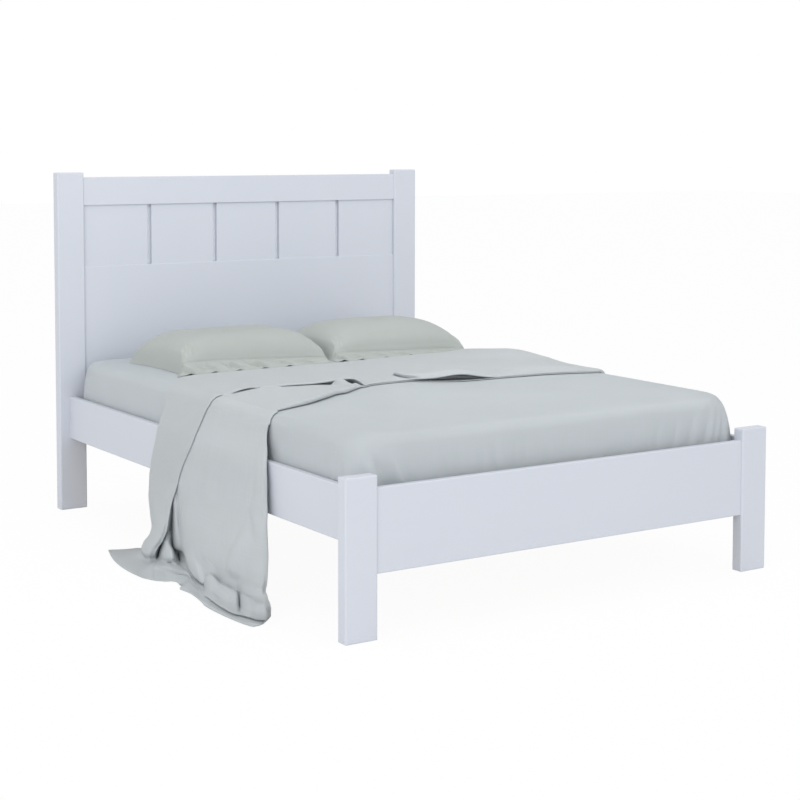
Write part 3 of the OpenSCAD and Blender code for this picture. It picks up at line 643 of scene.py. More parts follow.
def pillow_creases(pillow, u, v, x, y, full):
    """The small creases of a pillow's upper side."""
    end = 1 - np.abs(u)
    near_side = np.maximum(ease(-v, 0.3, 0.98), ease(v, 0.3, 0.98))
    near_end = ease(np.abs(u), 0.5, 0.98)
    crease = 0.0016 * ripple(pillow.seed, (x, 13.0), (y, 2.0)) * near_side * (1 - near_end)
    crease = crease + 0.0016 * ripple(pillow.seed + 1, (y, 11.0), (x, 2.0)) * near_end
    crease = crease + 0.0013 * ripple(pillow.seed + 2, (x, 3.0), (y, 6.0)) * full
    half_length = pillow.length / 2 * (1 - pillow.pull * (1 - v * v))
    past_front = (v + 1) * (pillow.depth - flange_deep) / 2
    for way in (-1, 1):
        for number, (reach, deep, wide) in enumerate(front_gathers):
            line = way * (half_length - reach - (0.04 + 0.05 * number) * past_front)
            ridge = hump(x, line, wide) - 0.8 * hump(x, line - way * wide * 1.7, wide)
            fades = 1 - ease(v, -0.98 + 0.02 * number, -0.72 + 0.08 * number)
            crease = crease + millimetre * deep * ridge * fades * ease(v, -1.0, -0.93)
    rim = np.minimum(end + 0 * v, 1 - np.abs(v) + 0 * u)
    return crease * ease(rim, 0.0, 0.04) - 0.0016 * hump(1 + v, 0.0, 0.02) * ease(end, 0.02, 0.08)


def pillow_flange(pillow, u, seam_x, seam_y, seam_z):
    """The flange from the seam to its hem, and how far the hem stands open. It has soft tucks that lean, each
    deepest just left of the next ridge."""
    end = 1 - np.abs(u)
    k = np.r_[0.0, 0.03, 0.07, np.linspace(0.12, 1, 26)][None, :]
    left, right_end = pillow.shift
    x = seam_x + (left + (right_end - left) * (u + 1) / 2) * k
    lean = x + 0.040 * (1 - k)
    deep, gap = 0 * x, 0 * x
    for number, tuck in enumerate(pillow.tucks):
        past = (tuck - lean) / (0.034 if number % 2 else 0.028)
        wall = np.where(past > 0, np.exp(-past ** 2), 1 - ease(-past, 0.0, 0.30))
        deep = np.maximum(deep, wall * (0.8 + 0.2 * math.cos(2.2 * number)))
        if number < pillow.lifted:
            off = x - tuck + 0.006
            opened = np.exp(-(off / np.where(off < 0, 0.020, 0.008)) ** 2)
            gap = np.maximum(gap, opened * ease(k, 0.4, 1.0))
    deep = deep * ease(k, 0.0, 0.35) * ease(end, 0.0, 0.03)
    bulge, hollow = 1 - k ** 2.1, (1 - k) ** 4.2
    height = hem_height + (seam_z - hem_height) * (bulge + (hollow - bulge) * deep)
    height = height + 0.0013 * ripple(pillow.seed + 5, (x, 26.0), (k + 0 * x, 0.5)) * np.sin(math.pi * k)
    height = height + 0.0052 * gap
    height = height + ease(end, 0.0, 0.05) * (0.0022 * hump(k, 0.04, 0.03) - 0.0012 * hump(k, 0.0, 0.012))
    hem_y = -pillow.depth / 2 - pillow.bow * (1 - u * u)
    y = seam_y + (hem_y - seam_y) * k + 0.008 * deep * k - 0.004 * np.sin(math.pi * k) * (1 - deep)
    return np.stack([x, y, height], -1), gap


def pillow_rings(pillow):
    """Rings across the pillow in its own place: from the back seam over the crown, down the flange to its hem
    and back underneath."""
    u = np.linspace(-1, 1, 230)[:, None]
    u = 0.45 * u + 0.55 * np.sin(u * math.pi / 2)
    v = np.linspace(1, -1, 60)[None, :]
    v = 0.4 * v + 0.6 * np.sin(v * math.pi / 2)
    end = 1 - np.abs(u)
    full = np.maximum(1 - np.abs(u) ** pillow.square[0], 0) ** pillow.swell[0]
    full = full * np.maximum(1 - np.abs(v) ** pillow.square[1], 0) ** pillow.swell[1]
    full = full * ease(end, -0.012, 0.042)
    seam_rise = (curve(pillow.seam_height, u) - seam_thin) * (1 - 0.25 * (v + 1))
    seam = seam_thin + ease(end, 0.0, 0.07) * seam_rise
    x = u * pillow.length / 2 * (1 - pillow.pull * (1 - v * v))
    y = flange_deep / 2 + v * (pillow.depth - flange_deep) / 2 * (1 - pillow.pull * (1 - u * u))
    top = seam + (pillow.tall - seam) * full + pillow_creases(pillow, u, v, x, y, full)
    under = np.maximum(seam - 0.0012 - 0.045 * np.sqrt(full), 0.0002)
    flange, gap = pillow_flange(pillow, u, x[:, -1:], y[:, -1:], seam[:, -1:])
    below = flange[:, ::-1].copy()
    height = below[..., 2].copy()
    below[..., 1] += 0.0015
    shut = np.minimum(height - 0.0026, 0.6 * height)
    below[..., 2] = np.maximum(np.where(gap[:, ::-1] > 0.05, height - 0.0026, shut), 0.0004)
    crown_side, under_side = np.stack([x, y, top], -1), np.stack([x, y, under], -1)
    return np.concatenate([crown_side[:, :-1], flange, below, under_side[:, -2::-1]], 1)


def make_pillow(side, pillow):
    """A pillow as one closed form, in its place, where it gives with the mattress towards the bed's edge."""
    rings = pillow_rings(pillow)
    cos, sin = math.cos(math.radians(pillow.turn)), math.sin(math.radians(pillow.turn))
    x = pillow.middle[0] + rings[..., 0] * cos - rings[..., 1] * sin
    y = pillow.middle[1] + rings[..., 0] * sin + rings[..., 1] * cos
    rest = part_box(f"pillow_{side}_case")[0].z - 0.0002 - (crown - crown_rise(pad_half_x - np.abs(x)))
    rings = np.stack([x, y, rings[..., 2] + rest + unevenness(x, y)], -1)
    rows, columns = rings.shape[:2]
    number = np.arange(rows * columns).reshape(rows, columns)
    half = columns // 2
    faces = [quads(closed(number), False)]
    for row, flip in ((number[0], False), (number[-1], True)):
        faces.append(quads(np.stack([row[:half], row[:half - 1:-1]]), flip))
    round_ring = np.linalg.norm(np.diff(rings[:, np.r_[0:columns, 0]], axis=1), axis=2)[rows // 2]
    threads = (run_along(rings, 0), np.cumsum(np.r_[0, round_ring]), rows, columns, True)
    return mesh_piece(side + "_pillow", rings.reshape(-1, 3), np.concatenate(faces), "pillow_cotton", threads)


# Throw: a doubled cloth. Three lines cross the bed and go down its side: the head edge, the lip where the
# cloth folds back under itself, and the foot edge. Below, the fold opens, and the cloth ends in a heap on the
# floor. Everything in this section is in millimetres. The lines on top are (x, y), those on the side
# (height, y). They were measured in the photograph, set on the bed's top and side, and put right.

throw_thick = 2.4
throw_half = 697
head_on_top = [
    (-697, 210), (-660, 214), (-637, 240), (-611, 278), (-580, 290), (-540, 296), (-400, 302), (0, 308),
    (150, 326), (191, 330), (279, 335), (388, 338), (455, 340), (569, 345), (697, 350),
]
lip_on_top = [
    (-697, -116), (-660, -115), (-626, -112), (-569, -92), (-511, -69), (-480, -76), (-446, -85),
    (-379, -101), (-330, -110), (-305, -130), (-288, -150), (-274, -170), (-250, -190), (-230, -205),
    (-206, -215), (-195, -205), (-137, -187), (-58, -183), (-24, -182), (-12, -190), (3, -207), (36, -228),
    (68, -250), (95, -264), (124, -273), (152, -277), (185, -279), (231, -280), (271, -280), (348, -283),
    (425, -288), (499, -300), (554, -312), (612, -319), (660, -310), (697, -292),
]
foot_on_top = [
    (-697, -470), (-660, -457), (-640, -452), (-621, -449), (-601, -444), (-562, -433), (-517, -414),
    (-464, -382), (-408, -342), (-361, -309), (-338, -304), (-287, -267), (-232, -224), (-196, -205),
    (-150, -165), (0, -150), (300, -235), (697, -280),
]
head_on_side = [
    (184, 237), (213, 237), (249, 232), (285, 228), (332, 214), (372, 198), (421, 192), (452, 191),
    (484, 188), (511, 190), (523, 194), (534, 202), (549, 210),
]
lip_on_side = [
    (249, 27), (271, 21), (309, 1), (342, -24), (375, -50), (404, -66), (430, -72), (452, -79), (474, -88),
    (496, -100), (516, -107), (534, -115), (549, -116),
]
foot_on_side = [
    (249, -545), (262, -544), (303, -536), (359, -531), (413, -517), (464, -486), (485, -481), (505, -482),
    (523, -478), (534, -474), (549, -470),
]
# How far out the cloth hangs, as (height, x).
fall = [
    (533, -692), (505, -696), (470, -703), (435, -713), (403, -724), (375, -728), (330, -730), (280, -733),
    (250, -736), (230, -738),
]
# How far the lip and the foot edge stand up along x.
lip_height = [
    (-697, 9), (-660, 8.4), (-628, 8.8), (-605, 12), (-575, 14), (-540, 12.5), (-513, 8.6), (-490, 8.2),
    (-452, 9), (-430, 11), (-380, 12), (-345, 12), (-322, 14), (-298, 19), (-280, 25), (-262, 30), (-242, 31),
    (-224, 22), (-206, 9), (-150, 9), (-60, 9), (-25, 9.5), (3, 14), (36, 16), (68, 22), (95, 27), (122, 28),
    (152, 24), (185, 18), (231, 11), (263, 8.4), (334, 8.4), (440, 8.7), (499, 9), (560, 8.7), (603, 8.4),
    (697, 8.4),
]
foot_height = [
    (-697, 8), (-660, 8.5), (-640, 9), (-600, 12), (-540, 17), (-450, 19), (-371, 18), (-300, 16), (-240, 10),
    (-201, 5.5), (0, 5), (697, 5),
]
# A second lip runs up from the first one near the middle, as (y, x).
second_lip = [(-222, 31), (-207, 3), (-176, -15), (-154, -24), (-114, -21), (-60, -12)]
# The loose swell along the right side, as (y, height) and (y, x), and the hollow in front of it, as (x, y).
swell_height = [(-130, 2), (-64, 10), (-5, 22), (85, 30), (161, 25), (239, 19), (326, 8), (352, 4)]
swell_line = [(-64, 620), (-5, 600), (85, 580), (161, 570), (239, 560)]
hollow_line = [(230, -176), (349, -188), (377, -204), (430, -218), (482, -232), (533, -247), (573, -276),
               (602, -318)]
# Where the lip lies close on the foot panel, as (x from, x to, softness of the ends).
close_spans = [(-668, -632, 6), (-507, -451, 6), (-291, -266, 7)]
# The crease of the hanging foot panel, as (height, y).
crease_line = [(0, -358), (164, -389), (250, -438)]
crease_above = [(250, -438), (320, -456), (430, -462), (550, -470)]
# How far back the folded cloth reaches under the lip, as (share of its rows, share of its depth).
fold_reach = [(0, 0.1), (0.2, 0.6), (0.38, 1.0), (0.46, 1.03), (0.54, 1.0), (0.72, 0.6), (1, 0.04)]

head_shares = 1 - (1 - np.linspace(0, 1, 64)) ** 1.8
fold_shares = np.linspace(0, 1, 27)
bends = np.radians((70, 42, 14, -14, -42, -70))

# The lower cloth, level by level. The first level, at hang_from above the floor, is given as (x, y). The
# others were picked in the photograph. Each pick is (u, v, plane): a place in its 800 x 800 pixels and
# the x that the point lies at, where plane is negative, or else its height above the floor. The head panel's
# levels run from the head edge to the lip, the fold's from there back round to the foot panel, and the foot
# panel's on to the foot edge.
hang_from = 250
head_start = [(-742, 231), (-743, 185), (-745, 140), (-746, 100), (-746, 65), (-746, 40), (-745, 27)]
fold_start = [(-743, 27), (-741, 27), (-736, 28), (-734, 30), (-737, 28), (-741, 25)]
foot_start = [(-746, 22), (-747, -10), (-748, -40), (-749, -75), (-749, -115), (-750, -170), (-751, -240),
              (-752, -310), (-752, -370), (-752, -430), (-749, -500), (-743, -553)]
# The foot panel's own columns, by their y in the first level.
foot_columns_y = np.array([22, -8, -35, -60, -85, -140, -215, -295, -345, -372, -400, -440, -480, -520, -553])
head_picks = [
    [(149, 493, -745), (152.5, 495, -751), (156, 497, -755), (160, 499.3, -759), (164, 501.3, -762),
     (168, 503, -764), (170.8, 504, -761)],
    [(150, 508, -752), (152.3, 510.5, -762), (155, 512.5, -770), (158, 514.5, -776), (161.5, 516.3, -779),
     (165.3, 517.8, -779), (168, 518.5, -774)],
    [(151.4, 520.5, -758), (151.9, 522.5, -772), (153, 524.8, -785), (155.5, 527, -795), (159, 528.8, -799),
     (163, 530, -797), (166, 530.5, -788)],
    [(154, 531, -760), (151.8, 531.5, -778), (150, 533.5, -797), (150, 537, -813), (153.5, 540, -819),
     (158.5, 541, -816), (162, 541, -804)],
    [(158, 540, -762), (152, 538.5, -782), (146, 540, -806), (143.3, 544, -826), (146, 548.5, -832),
     (151.5, 549, -829), (157, 548, -816)],
    [(159, 547, -766), (151, 543.5, -786), (144, 545.5, -812), (141.8, 549, -832), (144, 553.5, -838),
     (149, 554.8, -836), (154, 554.5, -822)],
    [(152, 549, -770), (146.5, 549.5, -790), (142.5, 551, -812), (142.5, 554.5, -826), (146, 558.3, -829),
     (150, 558.8, -826), (154.5, 558.2, -812)],
    [(139, 548.3, 6), (136.5, 550.8, 10), (137, 555, 12), (139.5, 558.5, 12), (144, 561.5, 12),
     (149.5, 562.8, 13), (156, 561.8, 15)],
    [(128, 549.3, 5), (126.5, 553.5, 8), (128.5, 558, 9), (132.5, 562, 9), (138, 565.3, 10),
     (145, 567.3, 10), (153.5, 567.5, 12)],
    [(119, 549.8, 4), (119.5, 554.5, 6), (122.5, 559.7, 7), (127.5, 564.2, 7), (134.5, 568.3, 8),
     (143, 571.3, 8), (153, 572.5, 9)],
    [(113, 550, 3.5), (115, 555.7, 5), (118.7, 560.7, 5.5), (124.3, 565.4, 6), (132.3, 570.1, 6),
     (142, 574.2, 6), (153, 576.2, 7)],
    [(110, 550.1, 3), (112.7, 556.1, 4), (116.8, 561.4, 4), (122.6, 566.3, 4.5), (131.2, 571.3, 4.5),
     (141.7, 576, 4.5), (153.3, 578.7, 5)],
    [(108.3, 550.3, 2.5), (111.2, 556.5, 2.5), (115.5, 562, 2.5), (121.4, 567, 2.5), (130.4, 572.3, 2.5),
     (141.4, 577.3, 2.5), (153.5, 580.2, 2.5)],
]
fold_picks = [
    [(173, 503, -742), (174.2, 502, -735), (173, 503.6, -742), (176, 505, -750), (179, 505.6, -742)],
    [(169.6, 517.5, -762), (170.8, 516.3, -752), (173.3, 515.5, -735), (172.6, 518.6, -747),
     (176, 520.3, -757), (179.6, 521, -746)],
    [(167.8, 530, -772), (169.3, 529.3, -757), (172.6, 528.5, -737), (172.8, 533, -750),
     (176.5, 534.7, -763), (180.5, 535.6, -753)],
    [(163, 540, -772), (164.6, 539.8, -790), (168.5, 542.5, -786), (172.3, 544, -745), (175.5, 547.5, -763),
     (181, 549, -760)],
    [(159.8, 548, -776), (163.2, 549, -800), (171.5, 549.5, -796), (175, 553, -757), (178.5, 552.5, -738),
     (183, 552.8, -746)],
    [(157.8, 555.5, -790), (163.8, 557, -808), (173, 558.5, -800), (175.6, 560.5, -778),
     (179.5, 560.5, -748), (184, 561, -756)],
    [(157, 559.5, -803), (163.8, 560.8, -808), (171, 560.6, -801), (175.8, 563.4, -790), (180.3, 566, -776),
     (185, 568.5, -781)],
    [(159.5, 562.3, 19), (164.8, 563.2, 23), (170.5, 562.4, 24), (176, 566, 23), (181.8, 569, 23),
     (187.3, 572, 24)],
    [(159, 566, 19), (164.5, 566.6, 21), (170.5, 568, 22), (176.5, 570.3, 22), (182, 572.4, 22),
     (187.7, 574.2, 21)],
    [(159, 571, 8), (164.5, 571.8, 8), (170.5, 573, 9), (176.5, 574.2, 10), (182, 575.2, 13),
     (187.9, 576.3, 15)],
    [(159, 576, 6), (164.5, 576.4, 6), (170.5, 577, 7), (176.5, 577.2, 10), (182, 576.8, 14),
     (187, 577.6, 14)],
    [(159.3, 579.3, 5), (165, 579.7, 5), (171, 579.6, 6), (176.5, 579.4, 10), (181, 579.6, 12),
     (184.5, 580.8, 12)],
    [(159.5, 580.9, 2.5), (165.5, 581.3, 2.5), (171.3, 581.2, 4), (176, 581.8, 9), (178.5, 583.3, 11),
     (179.5, 584.8, 9)],
]
foot_hang_picks = [
    [(181, 506.5, -750), (184, 508, -753), (188, 510, -755), (192.5, 512, -757), (198, 514.5, -758),
     (206, 518.3, -759), (216, 522.8, -761), (227, 527.5, -763), (238, 532, -764), (249, 537, -765),
     (260, 540.5, -760), (267.8, 542, -750)],
    [(182, 521.5, -757), (185, 523, -760), (188.5, 525, -763), (193, 527.5, -765), (198.5, 529.7, -767),
     (206, 533, -768), (216, 537.5, -770), (227, 542.5, -772), (238, 547.5, -773), (249, 553, -774),
     (260, 556.5, -768), (267.9, 557.4, -758)],
    [(183.2, 535.8, -763), (186, 537.5, -768), (189.5, 539.3, -771), (194, 541, -774), (199, 543, -776),
     (207, 546.5, -778), (216, 551, -779), (227, 556, -781), (238, 561, -782), (249, 566.5, -783),
     (260, 570.5, -778), (268, 571.7, -768)],
    [(184.6, 549.5, -770), (187.5, 551, -776), (190.5, 552.5, -779), (195, 554, -781), (200, 555, -784),
     (208, 557, -786), (217, 563.5, -786), (228, 568.5, -787), (239, 573, -788), (250, 578.5, -790),
     (261, 582, -788), (268.2, 583, -778)],
]
foot_heap_picks = [
    [(186.5, 561, -778), (190, 566.5, -790), (194, 570.5, -796), (198.5, 573.5, -799), (203, 568.5, -790),
     (209, 565, -793), (218, 571.5, -791), (228, 577, -791), (234, 580, -791), (238.5, 582, -789),
     (243, 584, -793), (250, 586, -798), (257, 588, -801), (262, 589.5, -798), (264.5, 590, -788)],
    [(189.3, 570.5, -788), (195, 577.5, -803), (199, 581, -806), (202.3, 583.5, -808), (205, 576, -796),
     (211, 574.5, -799), (219.5, 582.5, -796), (229.5, 587.2, -795), (235.5, 589.5, -794),
     (239, 591.5, -788), (243, 593, -795), (250, 596, -803), (257, 598.5, -808), (263.5, 599, -808),
     (266.3, 596.5, -798)],
    [(191.5, 574.5, -796), (204.6, 580, -808), (211.5, 575, -816), (220.5, 584, -814), (230.5, 589, -812),
     (236.5, 592.5, -808), (239.5, 598, -798), (242.5, 596, -809), (250, 598.5, -822), (258, 603, -832),
     (265, 604.5, -834), (268.6, 602.5, -812)],
    [(192.3, 578.5, -802), (197.3, 585.5, 5), (200.6, 588.5, 4), (203.3, 591.5, 4), (204.4, 589, -814),
     (211.3, 590, -834), (221, 598.5, -838), (231.5, 603.5, -838), (237, 606, -832), (239.8, 607.5, -806),
     (242.5, 607, -826), (250.5, 609.5, -842), (258.5, 611.5, -850), (265.8, 611, -848),
     (269.6, 608.5, -824)],
    [(192, 582, 9), (198, 589, 6), (201.4, 592.5, 5), (204, 596, 5), (206.5, 597, 9), (212.5, 601, 12),
     (221.7, 607.3, 12), (231.8, 613, 12), (237, 614.5, 12), (240, 615, 12), (243.5, 616, 12),
     (250, 617.5, 12), (257.5, 619.5, 13), (264.5, 619.5, 14), (269.8, 615, 16)],
]
# The foot edge hangs a little further in than the panel beside it.
foot_edge_picks = [(267.0, 541.5, -750), (266.8, 557, -758), (266.4, 571.5, -768), (265.9, 583, -778)]
# The heap's hem from the fourth column to the thirteenth, and where its right end lies once it folds over.
hem_picks = [(200, 600.5, 2.5), (205, 605.8, 2.5), (213, 610.6, 2.5), (223.5, 615.6, 2.5), (233.5, 620, 2.5),
             (239, 622.3, 2.5), (243, 623.8, 2.5), (247, 625, 2.5), (253, 626.5, 2.5), (260, 626.6, 2.5)]
folded_hem_picks = {11: (249.5, 625.8, 2.5), 12: (254.5, 626.6, 2.5)}
# The two ends of the last four levels curl over: the first three columns and the last two.
curled_columns = [0, 1, 2, 13, 14]
curled_picks = [
    [(191.3, 582, 8), (195.5, 585.8, 4), (199.5, 592.5, 4), (264.5, 620.5, 9), (268.6, 617.5, 9)],
    [(189.3, 583.8, 6), (190.5, 587.8, 3.5), (196, 592.8, 3.5), (263, 622, 6), (266.5, 620, 6)],
    [(186, 585, 5), (185, 588.8, 3.5), (192, 592.6, 3.5), (261, 624, 5), (263.5, 622.5, 5)],
    [(182, 586, 4), (180.3, 589.3, 2.5), (190, 593.2, 2.5), (258.5, 625.8, 2.5), (261.5, 624.2, 3)],
]

# How many rows lead from each level to the next, and how many columns between two of the foot panel's own.
level_steps = (9, 6, 5, 5, 5, 5, 4, 4, 5, 5, 4, 4, 5)
foot_steps = (5, 5, 5, 4, 7, 7, 8, 6, 4, 4, 5, 5, 5, 4)


def finer(marks, steps):
    """The marks, with steps between each one and the next."""
    parts = [np.linspace(start, end, count + 1)[1:] for start, end, count in zip(marks, marks[1:], steps)]
    return np.concatenate([[marks[0]], *parts])


down = finer(range(len(level_steps) + 1), level_steps)


def picked(picks):
    """The points that show at the picked places of the photograph, in whole millimetres."""
    points = []
    for u, v, plane in picks:
        ray = view + right * (u - picture_width / 2) / focal_pixels
        ray = ray - up * (v - (0.5 - lens_shift) * picture_width) / focal_pixels
        axis = 0 if plane < 0 else 2
        point = np.round(eye * 1000 + ray * (plane - eye[axis] * 1000) / ray[axis])
        point[axis] = plane
        points.append(point)
    return np.array(points)


def start_level(places):
    return np.array([(x, y, hang_from) for x, y in places], float)


def shares(level):
    """How far along the line through its points each point of a level lies, from 0 to 1."""
    along = np.cumsum(np.r_[0, np.linalg.norm(np.diff(level, axis=0), axis=1)])
    return along / along[-1]


def through(marks, points, at):
    """The points at the given marks on a smooth line through points that have marks of their own."""
    return np.stack([curve(list(zip(marks, points[:, axis])), at) for axis in range(3)], -1)


def heap_levels(rim):
    """The foot panel's last four levels, out from the heap's rim, where the cloth tucks in, to its hem."""
    hem = rim.copy()
    hem[3:13] = picked(hem_picks)

    def between(share, height):
        level = rim + (hem - rim) * share
        level[:, 2] = height
        return level

    levels = [rim + (30, 0, 0), between(0.2, 4), between(0.65, 5.5), hem]
    levels[0][:, 2] = 8
    for level, (share, height) in zip(levels, ((0.25, 4), (0.5, 3.5), (0.8, 3.5))):
        level[3] = between(share, height)[3]
    for column, pick in folded_hem_picks.items():
        hem[column] = picked([pick])[0]
    for level, picks in zip(levels, curled_picks):
        level[curled_columns] = picked(picks)
    return levels


def lower_levels():
    """The levels of the head panel, the fold and the foot panel, from hang_from down to the hem."""
    head = [start_level(head_start)] + [picked(picks) for picks in head_picks]
    fold = [picked(picks) for picks in fold_picks]
    fold[0] = np.concatenate([[(head[1][-1] + fold[0][0]) / 2], fold[0]])
    coarse = [start_level(foot_start)] + [picked(picks) for picks in foot_hang_picks]
    at = (foot_columns_y[0] - foot_columns_y) / (foot_columns_y[0] - foot_columns_y[-1])
    foot = [through(shares(coarse[0]), level, at) for level in coarse]
    for level, edge in zip(foot[1:], picked(foot_edge_picks)):
        level[-1] = edge
    heap = [picked(picks) for picks in foot_heap_picks]
    # Next to the lip, the heap's third level follows its second, further in under the bed.
    under_bed = heap[1][1:4] + (22, 0, 0)
    under_bed[:, 2] = 9
    heap[2] = np.concatenate([heap[2][:1], under_bed, heap[2][1:]])
    foot += heap + heap_levels(heap[-1])
    levels = [np.array(part) for part in (head, [start_level(fold_start), *fold], foot)]
    for part in levels:
        part[..., :2] = np.round(part[..., :2])
    return levels


def throw_stations():
    """The middle line of the cloth, from the right hem to the last station before the lower cloth: x, z and
    outward direction, and how many stations lie on the bed."""
    edge_x, edge_z, reach = pad_half_x * 1000 - 30, edge_top * 1000 - 30, 31.5
    # Stations lie closer together where the second lip and the arch are.
    even = np.linspace(edge_x, -edge_x, 400)
    busy = np.cumsum(1 + 1.6 * hump(even, 5, 50) + 0.8 * hump(even, -240, 60))
    busy = (busy - busy[0]) / (busy[-1] - busy[0])

    def bend(side, turns):
        return [(side * edge_x + reach * math.cos(t), edge_z + reach * math.sin(t), math.cos(t), math.sin(t))
                for t in turns]

    hem_side = [(edge_x + reach, z, 1, 0) for z in np.linspace(434, edge_z, 10)[:-1]]
    over = bend(1, np.linspace(0, math.pi / 2, 9)[:-1])
    top = [(x, edge_top * 1000 + 1.5 + 1000 * float(crown_rise(pad_half_x - abs(x) / 1000)), 0, 1)
           for x in curve(list(zip(busy, even)), np.linspace(0, 1, 230))]
    past = bend(-1, np.linspace(math.pi / 2, math.pi, 11)[1:-1])
    z = np.linspace(edge_z, hang_from, 40)
    x = curve(fall, z)
    slope = np.gradient(x, z)
    hanging = np.stack([x, z, -1 / np.hypot(1, slope), slope / np.hypot(1, slope)], 1)
    return np.concatenate([hem_side, over, top, past, hanging]).T, len(hem_side) + len(over) + len(top)


def throw_lines():
    """The stations of the upper cloth as columns, with where its edges and its lip lie there and how high."""
    (x, z, out_x, out_z), on_top = throw_stations()
    hang = np.arange(len(x)) >= on_top
    flat_x = np.clip(x, -throw_half, throw_half)
    drop = np.where(hang, (550 - z) / 300, 0)

    def at_stations(on_side, on_bed):
        return np.where(hang, curve(on_side, z), curve(on_bed, flat_x))

    lip_high = np.where(hang, 10.5 - drop, curve(lip_height, flat_x))
    foot_high = np.where(hang, 7.4 - 1.2 * ease(drop, 0.1, 0.6), curve(foot_height, flat_x))
    back = 16 + 44 * ease(-x, 170, 300) + 30 * hump(x, -260, 50) + 34 * hump(x, -214, 26)
    back = back + 48 * hump(x, 120, 80)
    columns = dict(
        x=x, z=z, out_x=out_x, out_z=out_z, flat_x=flat_x, drop=drop, hang=hang, on_top=~hang,
        hidden=~hang & (x > -215), arch=~hang * hump(x, 120, 95), late=~hang * hump(x, -218, 26),
        head=at_stations(head_on_side, head_on_top), lip=at_stations(lip_on_side, lip_on_top),
        foot=at_stations(foot_on_side, foot_on_top), back=np.where(hang, 60 - 20 * drop, back),
        lip_high=lip_high, lip_round=np.clip((lip_high - 5.0) / 2, 1.4, 1.9),
        foot_high=foot_high, foot_round=np.clip((foot_high - 3.0) / 2, 1.0, 7.0))
    return SimpleNamespace(**{name: np.asarray(values, float)[:, None] for name, values in columns.items()})


def off_bed(line, y, height):
    """Rows of points at places along the bed and heights off its top or side, one row for each station."""
    y, height = np.broadcast_arrays(y, height)
    return np.stack([line.x + line.out_x * height, y, line.z + line.out_z * height], -1)


def head_panel(line):
    """The panel from the head edge to the lip."""
    y = (line.head - 5) * (1 - head_shares) + (line.lip + line.lip_round) * head_shares
    inward = y - line.lip
    clear = 1 - np.exp(-(inward / 16) ** 2)
    rise = (line.lip_high - 7.2) * np.exp(-(inward / (62 + 14 * line.arch)) ** 2)
    h = 7.2 + rise + 0.9 * ripple(21, (y / 1000, 5.0), (line.x / 1000, 3.0))
    # The second lip leans to the left.
    past = line.flat_x - curve(second_lip, y)
    standing = line.on_top * ease(-y, 60, 100) * clear
    h = h + standing * 5 * hump(past, -26, 17)
    h = h + standing * 13 * ease(past, -2, 4) * (1 - ease(line.flat_x, 120, 330))
    lean = standing * (15 * hump(past, 7, 9) - 11 * hump(past, -3, 4))
    # The swell along the right side, and the roll of the lip and the hollow in front of it.
    h = h + line.on_top * curve(swell_height, y) * hump(line.flat_x, curve(swell_line, y), 95)
    far = ease(line.flat_x, 230, 480) * line.on_top
    h = h + far * (3.0 + 4.0 * ripple(8, (y / 1000, 2.6), (line.flat_x / 1000, 2.0)))
    along_roll = line.on_top * ease(line.flat_x, 250, 350) * (1 - ease(line.flat_x, 520, 640))
    h = h + along_roll * 11 * ease(inward, 4, 40) * (1 - ease(y, -80, 100))
    hollow = curve(hollow_line, line.flat_x)
    along_hollow = line.on_top * ease(line.flat_x, 280, 370) * (1 - 0.6 * ease(line.flat_x, 480, 600))
    h = h - along_hollow * (17 * hump(y, hollow, 11) - 4 * hump(y, hollow - 24, 14))
    # Faint waves on the bed and down the side.
    waves = 1.6 * ripple(9, (y / 1000, 4.0), (line.flat_x / 1000, 7.0))
    h = h + line.on_top * waves * ease(inward, 20, 120) * ease(line.flat_x, -500, 0)
    waves = 1.8 * ripple(31, (y / 1000, 9.0), (line.z / 1000, 1.2))
    h = h + line.hang * waves * ease(line.drop, 0.05, 0.7)
    rows = off_bed(line, y, np.maximum(h, 6.8))
    rows[..., 0] -= lean
    rows[..., 1] -= 0.5 * lean
    return rows


def fold_rows(line):
    """The cloth folded back under the lip, which stays close under the panel where this arches up."""
    share = curve(fold_reach, fold_shares)
    tall = line.lip_high - 2 * line.lip_round
    h = tall + (5.6 - tall) * ease(share - 0.6 * line.late, 0, 0.7 - 0.35 * line.late)
    follow = 4.5 + (line.lip_high - 7.2) * np.exp(-(line.back * share / (62 + 14 * line.arch)) ** 2)
    h = h + line.arch * (np.maximum(np.minimum(tall, follow), 5.6) - h)
    h = np.where(fold_shares < 0.46, h, 5.6 - 2.2 * ease(fold_shares, 0.42, 0.58))
    return off_bed(line, line.lip + line.back * share, h)


